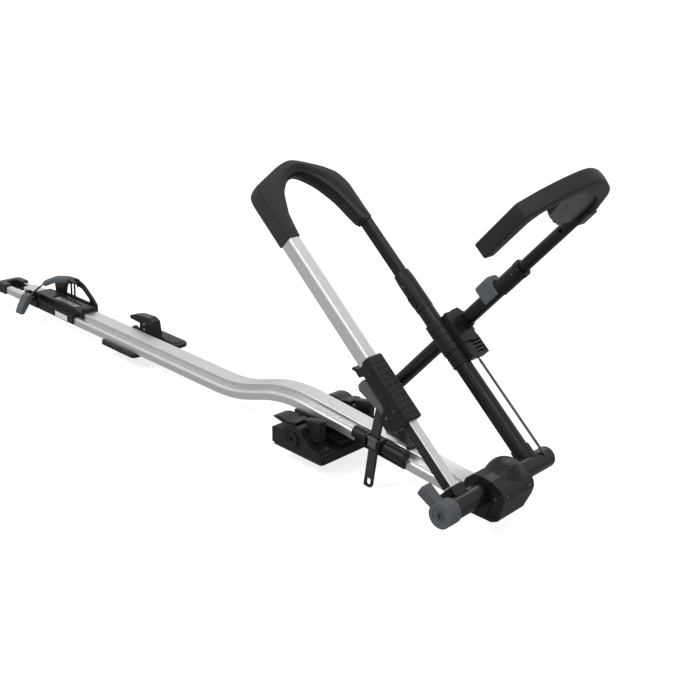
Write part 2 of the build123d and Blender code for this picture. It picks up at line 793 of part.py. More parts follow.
# Rear foot: it slides on the rail's lips
rear_tail = -rear_foot_place - rear_foot_length / 2
rear_head = -rear_foot_place + rear_foot_length / 2
rear_top = rail_under - slide_fit
with BuildPart() as rear_foot_base:
    with BuildSketch(Plane.XY.offset(rear_foot_pad)):
        with Locations((-rear_foot_place, (rear_foot_far - rear_foot_near) / 2)):
            RectangleRounded(rear_foot_length, rear_foot_far + rear_foot_near, rear_foot_corner)
    extrude(amount=rear_top - rear_foot_pad)
    cuboid(rear_tail + rear_foot_corner, rear_head - rear_foot_corner, -rear_neck / 2, rear_neck / 2,
           rear_top, rail_under + rail_wall + slide_fit)
    cuboid(rear_tail + rear_foot_corner, rear_head - rear_foot_corner, -rear_tee / 2, rear_tee / 2,
           rail_under + rail_wall + slide_fit, rail_under + rail_wall + slide_fit + rear_tee_height)
    for place in (rear_tail + rear_foot_corner, rear_head - rear_foot_corner - rear_ear):
        slab(Plane.YZ.offset(place + rear_ear / 2),
             [(rear_lever_in + rear_lever_depth / 2 - rear_ear_radius, rear_foot_pad),
              (rear_lever_in + rear_lever_depth / 2 + rear_ear_radius, rear_foot_pad),
              (rear_lever_in + rear_lever_depth / 2 + rear_ear_radius, rear_pin_height + rear_ear_radius),
              (rear_lever_in + rear_lever_depth / 2 - rear_ear_radius, rear_pin_height + rear_ear_radius)],
             rear_ear)
        disc(Plane.YZ.offset(place + rear_ear / 2), (rear_lever_in + rear_lever_depth / 2, rear_pin_height),
             rear_pin_radius + running_fit, rear_ear + overrun, mode=Mode.SUBTRACT)
rear_foot_base.part.label = "rear_foot_base"
export_step(rear_foot_base.part, "parts/rear_foot_base.step")

with BuildPart() as rear_foot_rubber:
    with BuildSketch(Plane.XY):
        with Locations((-rear_foot_place, (rear_foot_far - rear_foot_near) / 2)):
            RectangleRounded(rear_foot_length, rear_foot_far + rear_foot_near, rear_foot_corner)
    extrude(amount=rear_foot_pad)
rear_foot_rubber.part.label = "rear_foot_rubber"
export_step(rear_foot_rubber.part, "parts/rear_foot_rubber.step")

rear_lever_mid = rear_lever_in + rear_lever_depth / 2
ear_in = rear_tail + rear_foot_corner + rear_ear + plate_gap
ear_out = rear_head - rear_foot_corner - rear_ear - plate_gap
with BuildPart() as rear_foot_lever:
    slab(side_at(rear_lever_mid), scaled(rear_lever_shares, rear_lever_length, rear_lever_height,
                                         (-rear_foot_place, 0)), rear_lever_depth,
         radius=rear_lever_corner)
    for place in (rear_tail, ear_out):
        cuboid(place - overrun, place + rear_foot_corner + rear_ear + plate_gap,
               rear_lever_in - overrun, rear_lever_in + rear_lever_depth + overrun,
               -overrun, rear_pin_height + rear_ear_radius + plate_gap, mode=Mode.SUBTRACT)
    cuboid(rear_tail - rear_foot_length, rear_head + rear_foot_length, rear_lever_in - overrun,
           rear_lever_in + rear_lever_depth + overrun, -overrun, rear_pin_height, mode=Mode.SUBTRACT)
    disc(Plane.YZ.offset((ear_in + ear_out) / 2), (rear_lever_mid, rear_pin_height), rear_ear_radius,
         ear_out - ear_in)
    disc(Plane.YZ.offset((ear_in + ear_out) / 2), (rear_lever_mid, rear_pin_height), rear_pin_radius,
         ear_out - ear_in + 2 * rear_ear)
    for height in (rear_lever_height * 0.45, rear_lever_height * 0.62):
        disc(side_at(rear_lever_in), (-rear_foot_place, height), screw_radius + fit, 2 * screw_proud + fit,
             mode=Mode.SUBTRACT)
rear_foot_lever.part.label = "rear_foot_lever"
export_step(rear_foot_lever.part, "parts/rear_foot_lever.step")

with BuildPart() as rear_lever_screws:
    for height in (rear_lever_height * 0.45, rear_lever_height * 0.62):
        disc(side_at(rear_lever_in), (-rear_foot_place, height), screw_radius, 2 * screw_proud)
rear_lever_screws.part.label = "rear_lever_screws"
export_step(rear_lever_screws.part, "parts/rear_lever_screws.step")

# Rear wheel tray: it straddles the rail
tray_near = bead_half + slide_fit + tray_wall
tray_far = bead_half + slide_fit + tray_far_wall
tray_head = -tray_tail + tray_length
tray_centre = -tray_tail + tray_length / 2
tray_crown = rail_top + slide_fit + tray_floor
with BuildPart() as tray_body:
    slab(Plane.YZ.offset(tray_centre),
         [(-tray_near, tray_skirt), (-tray_near, tray_near_top), (-plateau_half - tray_wall, tray_near_top),
          (-plateau_half - tray_wall + tray_floor / 2, tray_crown), (plateau_half + tray_floor, tray_crown),
          (tray_far, tray_near_top + tray_floor), (tray_far, tray_skirt)], tray_length)
    cuboid(tray_head, tray_head + saddle_length, -plateau_half - tray_wall, plateau_half + tray_wall,
           rail_top - plateau_drop, tray_crown)
    cuboid(tray_head + saddle_length / 3, tray_head + saddle_length, -plateau_half + tray_wall,
           plateau_half - tray_wall, tray_crown, tray_crown + saddle_rise)
    slab(side_at(tray_far - tray_far_wall / 2),
         scaled(tray_far_shares, tray_length, tray_far_height, (-tray_middle, 0)), tray_far_wall)
    slab(side_at(tray_far - tray_far_wall / 2),
         scaled(tray_hole_shares, tray_length, tray_far_height, (-tray_middle, 0)),
         tray_far_wall + overrun, mode=Mode.SUBTRACT)
    for place in tray_rib_places:
        cuboid(-tray_middle + place, -tray_middle + place + tray_rib, tray_far - tray_far_wall,
               tray_far - tray_far_wall / 2, tray_far_height * tray_hole_shares[0][1] - tray_wall,
               tray_far_height * tray_hole_shares[2][1])
    cuboid(-window_start, -window_start + window_length, -window_width / 2, window_width / 2,
           rail_top, tray_crown + overrun, mode=Mode.SUBTRACT)
    add(slide_space.part, mode=Mode.SUBTRACT)
tray_body.part.label = "tray_body"
export_step(tray_body.part, "parts/tray_body.step")

with BuildPart() as label_plate:
    cuboid(-label_place - label_length / 2, -label_place + label_length / 2,
           -tray_near - label_thickness, -tray_near,
           tray_skirt + tray_wall / 2, tray_skirt + tray_wall / 2 + label_height)
label_plate.part.label = "label_plate"
export_step(label_plate.part, "parts/label_plate.step")

# Buckle on the tray's near wall, with its lever
buckle_tail = -buckle_place - buckle_length / 2
buckle_head = -buckle_place + buckle_length / 2
with BuildPart() as rear_buckle:
    cuboid(buckle_tail, buckle_head, -tray_near - tray_wall, -tray_near, buckle_base, buckle_top)
    for place in (buckle_tail, buckle_head - buckle_cheek):
        cuboid(place, place + buckle_cheek, -tray_near - tray_wall - buckle_out, -tray_near - tray_wall,
               buckle_pin_height - buckle_out, buckle_top)
    disc(Plane.YZ.offset(-buckle_place), (-tray_near - tray_wall - buckle_pin_out, buckle_pin_height),
         buckle_pin_radius + running_fit, buckle_length + overrun, mode=Mode.SUBTRACT)
rear_buckle.part.label = "rear_buckle"
export_step(rear_buckle.part, "parts/rear_buckle.step")

lever_width = buckle_length - 2 * buckle_cheek - 2 * plate_gap
with BuildPart() as rear_buckle_lever:
    slab(Plane.YZ.offset(-buckle_place),
         [(-tray_near - tray_wall - buckle_pin_out - a * buckle_lever_reach,
           buckle_pin_height + b * buckle_lever_reach) for a, b in buckle_lever_shares], lever_width)
    disc(Plane.YZ.offset(-buckle_place), (-tray_near - tray_wall - buckle_pin_out, buckle_pin_height),
         buckle_pin_radius * 2, lever_width)
    disc(Plane.YZ.offset(-buckle_place), (-tray_near - tray_wall - buckle_pin_out, buckle_pin_height),
         buckle_pin_radius, buckle_length)
rear_buckle_lever.part.label = "rear_buckle_lever"
export_step(rear_buckle_lever.part, "parts/rear_buckle_lever.step")

turn = radians(rear_strap_turn)
strap_run = Vector(cos(turn), sin(turn), 0)
strap_plane = Plane(origin=(-rear_strap_near, -rear_strap_side, 0), x_dir=strap_run,
                    z_dir=(sin(turn), -cos(turn), 0))
with BuildPart() as rear_strap:
    with BuildSketch(strap_plane) as rear_strap_section:
        with BuildLine() as rear_strap_line:
            FilletPolyline(*scaled(rear_strap_shares, rear_strap_reach, rear_strap_top),
                           radius=rear_strap_bend)
        trace(rear_strap_line.line, line_width=rear_strap_thickness)
    extrude(rear_strap_section.sketch, amount=rear_strap_width / 2, both=True)
    add(tray_body.part, mode=Mode.SUBTRACT)
    cuboid(-rear_strap_near - rear_strap_reach, -rear_strap_near + rear_strap_reach,
           -2 * rear_strap_side, -tray_near, 0, buckle_top, mode=Mode.SUBTRACT)
    cuboid(-rear_strap_near - rear_strap_reach, -rear_strap_near + rear_strap_reach,
           -2 * rear_strap_side, -tray_near - tray_wall - buckle_pin_out + 2 * buckle_pin_radius + plate_gap,
           0, rear_strap_top, mode=Mode.SUBTRACT)
    cuboid(-rear_strap_near - rear_strap_reach, -rear_strap_near + rear_strap_reach,
           tray_far - tray_far_wall / 2, 2 * rear_strap_side, 0, 2 * rear_strap_top, mode=Mode.SUBTRACT)
rear_strap.part.label = "rear_strap"
export_step(rear_strap.part, "parts/rear_strap.step")

with BuildPart() as rim_pad:
    slab(strap_plane, scaled(rim_pad_shares, rear_strap_reach, rear_strap_top), rim_pad_width)
    add(rear_strap.part, mode=Mode.SUBTRACT)
rim_pad.part.label = "rim_pad"
export_step(rim_pad.part, "parts/rim_pad.step")

# Front strap's bracket: two half-round lengths on the near bead, with the buckle between them
with BuildPart() as strap_bracket:
    for start, end in ((strap_bracket_start, strap_window_start),
                       (strap_window_start + strap_window, strap_bracket_end)):
        disc(front_cut((start + end) / 2), (-strap_bracket_side, -strap_bracket_drop),
             strap_bracket_radius, end - start)
    block(front_cut((strap_bracket_start + strap_bracket_end) / 2),
          (-bead_half - fit - strap_base / 2, -(plateau_drop + rail_depth) / 2), strap_base,
          rail_depth - plateau_drop, strap_bracket_end - strap_bracket_start)
    for place in (strap_window_start + strap_cheek / 2,
                  strap_window_start + strap_window - strap_cheek / 2):
        block(front_cut(place), (-(bead_half + tab_pin_side + tab_pin_radius * 2) / 2, -strap_bracket_drop / 2),
              tab_pin_side + tab_pin_radius * 2 - bead_half, 2 * strap_bracket_radius, strap_cheek)
    disc(front_cut(strap_window_start + strap_window / 2), (-tab_pin_side, tab_pin_rise),
         tab_pin_radius + running_fit,
         strap_window + overrun, mode=Mode.SUBTRACT)
    add(rail_space.part, mode=Mode.SUBTRACT)
strap_bracket.part.label = "strap_bracket"
export_step(strap_bracket.part, "parts/strap_bracket.step")

tab_mid = strap_window_start + strap_window / 2
with BuildPart() as strap_tab:
    block(front_cut(tab_mid), (-tab_pin_side, tab_pin_rise - tab_length / 2), tab_thickness,
          tab_length, tab_width)
    disc(front_cut(tab_mid), (-tab_pin_side, tab_pin_rise), tab_pin_radius * 1.6, tab_width)
    disc(front_cut(tab_mid), (-tab_pin_side, tab_pin_rise), tab_pin_radius, strap_window)
strap_tab.part.label = "strap_tab"
export_step(strap_tab.part, "parts/strap_tab.step")

with BuildPart() as front_strap:
    with BuildSketch(front_cut(tab_mid)) as front_strap_section:
        with BuildLine() as front_strap_line:
            FilletPolyline((-front_strap_side, -front_strap_tail), (-front_strap_side, front_strap_rise * 0.14),
                           (-front_strap_side + front_strap_bend / 2, front_strap_rise * 0.80),
                           (-front_strap_side / 2, front_strap_rise),
                           (front_strap_far / 2, front_strap_rise * 0.96),
                           (front_strap_far, front_strap_rise * 0.62), (front_strap_far, chock_thickness + fit),
                           radius=front_strap_bend)
        trace(front_strap_line.line, line_width=front_strap_thickness)
    extrude(front_strap_section.sketch, amount=front_strap_width / 2, both=True)
    fillet(front_strap.edges().filter_by(Axis.Y).group_by(Axis.Z)[0], radius=strap_end_radius)
    with BuildSketch(Plane(origin=front_origin + forward * tab_mid - front_up * front_strap_tail
                           + front_up * (strap_end_radius / 2 + strap_hole_length / 2)
                           - Vector(0, front_strap_side, 0),
                           x_dir=front_up, z_dir=(0, -1, 0))) as strap_hole:
        SlotOverall(strap_hole_length, strap_hole_width)
    extrude(strap_hole.sketch, amount=overrun, both=True, mode=Mode.SUBTRACT)
    for k in range(strap_rib_count):
        block(front_cut(tab_mid), (-front_strap_side - front_strap_thickness / 2,
                                   -front_strap_tail + strap_end_radius + strap_hole_length
                                   + k * strap_rib_pitch),
              2 * strap_rib, strap_rib_pitch / 2, front_strap_width * 0.8)
front_strap.part.label = "front_strap"
export_step(front_strap.part, "parts/front_strap.step")

# Cross tube: it turns in the head and carries both legs
with BuildPart() as cross_tube:
    length = tube_near + tube_far - tube_cap_thickness
    disc(side_at((tube_far - tube_cap_thickness - tube_near) / 2), head_at, tube_radius, length)
    disc(side_at((tube_far - tube_cap_thickness - tube_near) / 2), head_at, tube_radius - tube_wall,
         length + overrun, mode=Mode.SUBTRACT)
cross_tube.part.label = "cross_tube"
export_step(cross_tube.part, "parts/cross_tube.step")

with BuildPart() as tube_cap:
    disc(side_at(tube_far - tube_cap_thickness / 2), head_at, tube_radius, tube_cap_thickness)
    fillet(tube_cap.faces().sort_by(Axis.Y)[-1].edges(), radius=tube_cap_edge)
    disc(side_at(tube_far - tube_cap_thickness - tube_cap_plug / 2), head_at,
         tube_radius - tube_wall - fit, tube_cap_plug)
tube_cap.part.label = "tube_cap"
export_step(tube_cap.part, "parts/tube_cap.step")

# End knob with its wing, and the lock cylinder in it
wing_turn = radians(wing_angle)
wing_dir = Vector(cos(wing_turn), 0, sin(wing_turn))
knob_start = tube_near + plate_gap
knob_end = knob_start + knob_length - plate_gap
wing_mid = -(knob_start + knob_end) / 2
wing_plane = Plane(origin=(head_reach, wing_mid, axis_height), x_dir=wing_dir, z_dir=(0, -1, 0))
with BuildPart() as end_knob:
    disc(side_at(wing_mid), head_at, knob_diameter / 2, knob_end - knob_start)
    slab(wing_plane, [(0, -wing_root / 2), (wing_reach, -wing_tip / 2), (wing_reach, wing_tip / 2),
                      (0, wing_root / 2)], wing_thickness, radius=(0, wing_corner, wing_corner, 0))
    for k in range(wing_rib_count):
        block(Plane(origin=(head_reach, wing_mid - wing_thickness / 2, axis_height), x_dir=wing_dir,
                    z_dir=(0, -1, 0)),
              (knob_diameter / 2 + wing_corner + k * wing_corner * 1.25, 0), wing_rib, wing_root, wing_rib)
    disc(side_at(-knob_end), head_at, knob_recess_radius, 2 * knob_recess, mode=Mode.SUBTRACT)
    disc(side_at(-tube_near + knob_plug / 2 - plate_gap / 2), head_at, tube_radius - tube_wall - running_fit,
         knob_plug + plate_gap)
    disc(side_at(-knob_end), head_at, lock_radius + running_fit, 2 * lock_length, mode=Mode.SUBTRACT)
end_knob.part.label = "end_knob"
export_step(end_knob.part, "parts/end_knob.step")

with BuildPart() as lock_cylinder:
    disc(side_at(-knob_end + lock_length / 2 + knob_recess / 4), head_at, lock_radius,
         lock_length - knob_recess / 2)
    block(side_at(-knob_end), head_at, keyway_width, keyway_length, 2 * keyway_depth, mode=Mode.SUBTRACT)
lock_cylinder.part.label = "lock_cylinder"
export_step(lock_cylinder.part, "parts/lock_cylinder.step")

# Near leg's foot, inner tube and toothed rack
inner_side = near_leg_side - (inner_leg_width + rack_plate + rack_tooth - inner_leg_inset
                              - inner_leg_width) / 2
near_tube_at = inner_side - (rack_plate + rack_tooth) / 2
inner_mid = (inner_leg_start + inner_leg_end) / 2
with BuildPart() as leg_foot:
    block(leg_cut((saddle_start + saddle_block) / 2), (near_leg_side, 0), saddle_side, saddle_depth,
          saddle_block - saddle_start, corner=cap_edge)
    disc(side_at(-near_leg_side), head_at, tube_radius, saddle_side + overrun, mode=Mode.SUBTRACT)
    block(leg_cut((inner_leg_start + saddle_block + overrun) / 2), (near_tube_at, -inner_leg_inset / 2),
          inner_leg_width + 2 * fit, inner_leg_height + 2 * fit,
          saddle_block + overrun - inner_leg_start, mode=Mode.SUBTRACT)
leg_foot.part.label = "leg_foot"
export_step(leg_foot.part, "parts/leg_foot.step")

with BuildPart() as inner_leg:
    block(leg_cut(inner_mid), (near_tube_at, -inner_leg_inset / 2), inner_leg_width, inner_leg_height,
          inner_leg_end - inner_leg_start, corner=inner_leg_corner)
    block(leg_cut(inner_mid), (near_tube_at, -inner_leg_inset / 2), inner_leg_width - 2 * inner_leg_wall,
          inner_leg_height - 2 * inner_leg_wall, inner_leg_end, mode=Mode.SUBTRACT)
inner_leg.part.label = "inner_leg"
export_step(inner_leg.part, "parts/inner_leg.step")

rack_face = near_tube_at + inner_leg_width / 2
with BuildPart() as leg_rack:
    block(leg_cut((rack_start + inner_leg_end) / 2), (rack_face + rack_plate / 2, inner_leg_inset / 2),
          rack_plate, rack_width, inner_leg_end - rack_start)
    for k in range(rack_teeth):
        block(leg_cut(rack_start + (k + 1) * rack_pitch),
              (rack_face + rack_plate + rack_tooth / 2, inner_leg_inset / 2), rack_tooth, rack_width,
              rack_pitch / 2)
leg_rack.part.label = "leg_rack"
export_step(leg_rack.part, "parts/leg_rack.step")

with BuildPart() as outer_leg:
    outer_mid = (outer_leg_start + outer_leg_end) / 2
    block(leg_cut(outer_mid), (near_leg_side, 0), outer_leg_width, outer_leg_height,
          outer_leg_end - outer_leg_start, corner=outer_leg_corner)
    block(leg_cut(outer_mid), (near_leg_side, 0), outer_leg_width - 2 * outer_leg_wall,
          outer_leg_height - 2 * outer_leg_wall, outer_leg_end,
          corner=outer_leg_corner - outer_leg_wall, mode=Mode.SUBTRACT)
outer_leg.part.label = "outer_leg"
export_step(outer_leg.part, "parts/outer_leg.step")

# Ratchet housing: a ribbed grip with two cheeks that carry the pump lever and the release tab
housing_half = outer_leg_width / 2 + housing_wall
housing_end = outer_leg_start + housing_length
housing_mid = (outer_leg_start + housing_end) / 2
pump_at = (pump_pin_place, -pump_pin_drop)
tab_at = (tab_place, -tab_drop)
with BuildPart() as ratchet_housing:
    block(leg_cut(housing_mid), (near_leg_side, (housing_top - housing_low) / 2), 2 * housing_half,
          housing_top + housing_low, housing_length, corner=housing_wall)
    for end in (0, -1):
        fillet(ratchet_housing.faces().sort_by(Axis((0, 0, 0), along))[end].edges(), radius=housing_edge)
    for side in (-1, 1):
        slab(leg_side(-near_leg_side + side * (housing_half - housing_wall / 2)),
             scaled(cheek_shares, housing_length, cheek_drop, (outer_leg_start, 0)), housing_wall)
    for k in range(housing_ribs):
        block(leg_cut(outer_leg_start + (k + 1) * housing_rib_pitch), (near_leg_side, housing_top),
              2 * housing_half + overrun, 2 * housing_rib, housing_rib_width, mode=Mode.SUBTRACT)
    block(leg_cut(outer_leg_start + housing_length), (near_leg_side, 0), outer_leg_width + 2 * fit,
          outer_leg_height + 2 * fit, 2 * housing_length, corner=outer_leg_corner, mode=Mode.SUBTRACT)
    block(leg_cut(outer_leg_start), (near_leg_side, -housing_low - overrun), outer_leg_width + 2 * fit,
          2 * (housing_low + overrun), 2 * outer_leg_end, mode=Mode.SUBTRACT)
    disc(leg_side(-near_leg_side), pump_at, pump_pin_radius + running_fit, 2 * housing_half + overrun,
         mode=Mode.SUBTRACT)
    disc(leg_side(-near_leg_side), tab_at, tab_hub_pin + running_fit, 2 * housing_half + overrun,
         mode=Mode.SUBTRACT)
    for place in housing_screw_places:
        disc(leg_side(-near_leg_side - housing_half), place, housing_screw_radius + fit,
             housing_wall, mode=Mode.SUBTRACT)
ratchet_housing.part.label = "ratchet_housing"
export_step(ratchet_housing.part, "parts/ratchet_housing.step")

with BuildPart() as ratchet_screws:
    for place in housing_screw_places:
        disc(leg_side(-near_leg_side - housing_half + (housing_wall / 2 - screw_proud) / 2), place,
             housing_screw_radius, housing_wall / 2 + screw_proud)
ratchet_screws.part.label = "ratchet_screws"
export_step(ratchet_screws.part, "parts/ratchet_screws.step")

lever_clear = outer_leg_width - 2 * plate_gap
with BuildPart() as ratchet_lever:
    slab(leg_side(-near_leg_side), scaled(pump_shares, pump_reach, pump_depth, pump_at), lever_clear,
         radius=pump_corner)
    disc(leg_side(-near_leg_side), pump_at, pump_hub_radius, lever_clear)
    disc(leg_side(-near_leg_side), pump_at, pump_pin_radius, 2 * housing_half)
ratchet_lever.part.label = "ratchet_lever"
export_step(ratchet_lever.part, "parts/ratchet_lever.step")

with BuildPart() as release_tab:
    slab(leg_side(-near_leg_side), scaled(tab_finger_shares, tab_finger, tab_finger, tab_at), lever_clear)
    disc(leg_side(-near_leg_side), tab_at, tab_hub_radius, lever_clear)
    disc(leg_side(-near_leg_side), tab_at, tab_hub_pin, 2 * housing_half)
release_tab.part.label = "release_tab"
export_step(release_tab.part, "parts/release_tab.step")

# Hoop head
hoop_outer = [(a * cover_reach, -b * cover_half_width) for a, b in cover_outer_shares]
hoop_inner = [(a * cover_reach, -b * cover_half_width) for a, b in cover_inner_shares]
liner_outer = [(s + liner_thickness * (1 if 0 < k < len(hoop_inner) - 1 else 0),
                w + liner_thickness * (-1 if b > 0.05 else 1))
               for k, ((s, w), (a, b)) in enumerate(zip(hoop_inner, cover_inner_shares))]
with BuildPart() as hoop_frame:
    with BuildSketch(leg_top(0)) as frame_sketch:
        with BuildLine() as frame_line:
            FilletPolyline((outer_leg_end + frame_plug / 2, near_leg_side),
                           *[(a * cover_reach, -b * cover_half_width) for a, b in frame_shares],
                           (bar_end + frame_plug / 2, -far_leg_side), radius=frame_bend)
        trace(frame_line.line, line_width=frame_bar)
    extrude(frame_sketch.sketch, amount=frame_depth / 2, both=True)
    block(leg_cut(outer_leg_end + frame_plug / 2), (near_leg_side, 0),
          outer_leg_width - outer_leg_wall, outer_leg_height - outer_leg_wall, frame_plug)
    block(leg_cut(bar_end + frame_plug / 2), (-far_leg_side, 0), bar_width - bar_wall,
          bar_height - bar_wall, frame_plug)
hoop_frame.part.label = "hoop_frame"
export_step(hoop_frame.part, "parts/hoop_frame.step")

with BuildPart() as far_bar:
    block(leg_cut((bar_start + bar_end) / 2), (-far_leg_side, 0), bar_width, bar_height,
          bar_end - bar_start, corner=bar_corner)
    block(leg_cut((bar_start + bar_end) / 2), (-far_leg_side, 0), bar_width - 2 * bar_wall,
          bar_height - 2 * bar_wall, bar_end, mode=Mode.SUBTRACT)
far_bar.part.label = "far_bar"
export_step(far_bar.part, "parts/far_bar.step")

with BuildPart() as hoop_liner:
    slab(leg_top(0), liner_outer + list(reversed(hoop_inner)), cover_depth - 2 * liner_inset)
    block(leg_cut(outer_leg_end / 2), (near_leg_side, 0), outer_leg_width, outer_leg_height,
          outer_leg_end, mode=Mode.SUBTRACT)
    block(leg_cut(bar_end / 2), (-far_leg_side, 0), bar_width, bar_height, bar_end, mode=Mode.SUBTRACT)
hoop_liner.part.label = "hoop_liner"
export_step(hoop_liner.part, "parts/hoop_liner.step")

with BuildPart() as hoop_cover:
    slab(leg_top(0), hoop_outer + hoop_inner, cover_depth)
    fillet(hoop_cover.faces().sort_by(Axis((0, 0, 0), above))[-1].edges(), radius=cover_edge)
    fillet(hoop_cover.faces().sort_by(Axis((0, 0, 0), above))[0].edges(), radius=cover_edge)
    add(hoop_liner.part, mode=Mode.SUBTRACT)
    add(hoop_frame.part, mode=Mode.SUBTRACT)
    block(leg_cut(outer_leg_end / 2), (near_leg_side, 0), outer_leg_width, outer_leg_height,
          outer_leg_end, corner=outer_leg_corner, mode=Mode.SUBTRACT)
    block(leg_cut(bar_end / 2), (-far_leg_side, 0), bar_width, bar_height, bar_end,
          corner=bar_corner, mode=Mode.SUBTRACT)
hoop_cover.part.label = "hoop_cover"
export_step(hoop_cover.part, "parts/hoop_cover.step")

# Far leg: socket, round tube, sleeve with its button
far_radius = far_leg_diameter / 2
with BuildPart() as far_leg_socket:
    disc(leg_cut((saddle_start + far_socket_end) / 2), (-far_leg_side, 0), far_socket_side / 2,
         far_socket_end - saddle_start)
    disc(side_at(far_leg_side), head_at, tube_radius, far_socket_side + overrun, mode=Mode.SUBTRACT)
    disc(leg_cut((far_leg_start + far_socket_end + overrun) / 2), (-far_leg_side, 0), far_radius + fit,
         far_socket_end + overrun - far_leg_start, mode=Mode.SUBTRACT)
far_leg_socket.part.label = "far_leg_socket"
export_step(far_leg_socket.part, "parts/far_leg_socket.step")

with BuildPart() as far_leg:
    disc(leg_cut((far_leg_start + far_leg_end) / 2), (-far_leg_side, 0), far_radius,
         far_leg_end - far_leg_start)
    disc(leg_cut((far_leg_start + far_leg_end) / 2), (-far_leg_side, 0), far_radius - far_leg_wall,
         far_leg_end, mode=Mode.SUBTRACT)
far_leg.part.label = "far_leg"
export_step(far_leg.part, "parts/far_leg.step")

sleeve_end = far_leg_end + sleeve_length
sleeve_face = far_leg_side - sleeve_diameter / 2
button_at = (sleeve_button_place, -sleeve_button_drop)
with BuildPart() as leg_sleeve:
    disc(leg_cut(far_leg_end + (sleeve_length - sleeve_taper) / 2), (-far_leg_side, 0),
         sleeve_diameter / 2, sleeve_length - sleeve_taper)
    with BuildSketch(leg_cut(sleeve_end - sleeve_taper)):
        with Locations((-far_leg_side, 0)):
            Circle(sleeve_diameter / 2)
    with BuildSketch(leg_cut(sleeve_end)):
        with Locations((-far_leg_side, 0)):
            Circle(sleeve_mouth / 2)
    loft()
    block(leg_cut(far_leg_end), (-far_leg_side, 0), bar_width + 2 * slide_fit,
          bar_height + 2 * slide_fit, 4 * sleeve_length, corner=bar_corner, mode=Mode.SUBTRACT)
    with BuildSketch(leg_side(sleeve_face)) as button_pocket:
        with Locations(button_at):
            SlotOverall(sleeve_button_length + 2 * slide_fit, sleeve_button_width + 2 * slide_fit)
    extrude(button_pocket.sketch, amount=sleeve_button_depth + sleeve_button_travel + slide_fit,
            both=True, mode=Mode.SUBTRACT)
    disc(leg_side(sleeve_face), (sleeve_screw_place, 0), sleeve_screw_radius + fit,
         2 * sleeve_screw_radius, mode=Mode.SUBTRACT)
leg_sleeve.part.label = "leg_sleeve"
export_step(leg_sleeve.part, "parts/leg_sleeve.step")

with BuildPart() as sleeve_screw:
    disc(leg_side(sleeve_face + (sleeve_screw_radius - screw_proud) / 2), (sleeve_screw_place, 0),
         sleeve_screw_radius, sleeve_screw_radius + screw_proud)
sleeve_screw.part.label = "sleeve_screw"
export_step(sleeve_screw.part, "parts/sleeve_screw.step")

with BuildPart() as sleeve_button:
    with BuildSketch(leg_side(sleeve_face + (sleeve_button_depth - sleeve_button_proud) / 2)) as button_body:
        with Locations(button_at):
            SlotOverall(sleeve_button_length, sleeve_button_width)
    extrude(button_body.sketch, amount=(sleeve_button_depth + sleeve_button_proud) / 2, both=True)
    for k in range(-3, 4):
        block(leg_side(sleeve_face - sleeve_button_proud),
              (sleeve_button_place + k * sleeve_button_depth * 0.8, -sleeve_button_drop),
              rod_radius / 2, sleeve_button_width, rod_radius / 2, mode=Mode.SUBTRACT)
sleeve_button.part.label = "sleeve_button"
export_step(sleeve_button.part, "parts/sleeve_button.step")

# Collar, louvred housing and thin rod on the far leg
lock_body_end = collar_start + collar_length + lock_body_length
with BuildPart() as arm_collar:
    disc(leg_cut(collar_start + collar_length / 2), (-far_leg_side, 0), collar_radius - collar_rib,
         collar_length)
    for k in range(collar_ribs):
        disc(leg_cut(collar_start + collar_length * (k + 1 / 2) / collar_ribs), (-far_leg_side, 0),
             collar_radius, collar_rib_width)
    disc(leg_cut(collar_start + collar_length / 2), (-far_leg_side, 0), far_radius,
         collar_length + overrun, mode=Mode.SUBTRACT)
    cuboid(-head_reach, head_reach, lock_body_face - fit, lock_body_face + head_reach, 0, 2 * head_reach,
           mode=Mode.SUBTRACT)
arm_collar.part.label = "arm_collar"
export_step(arm_collar.part, "parts/arm_collar.step")

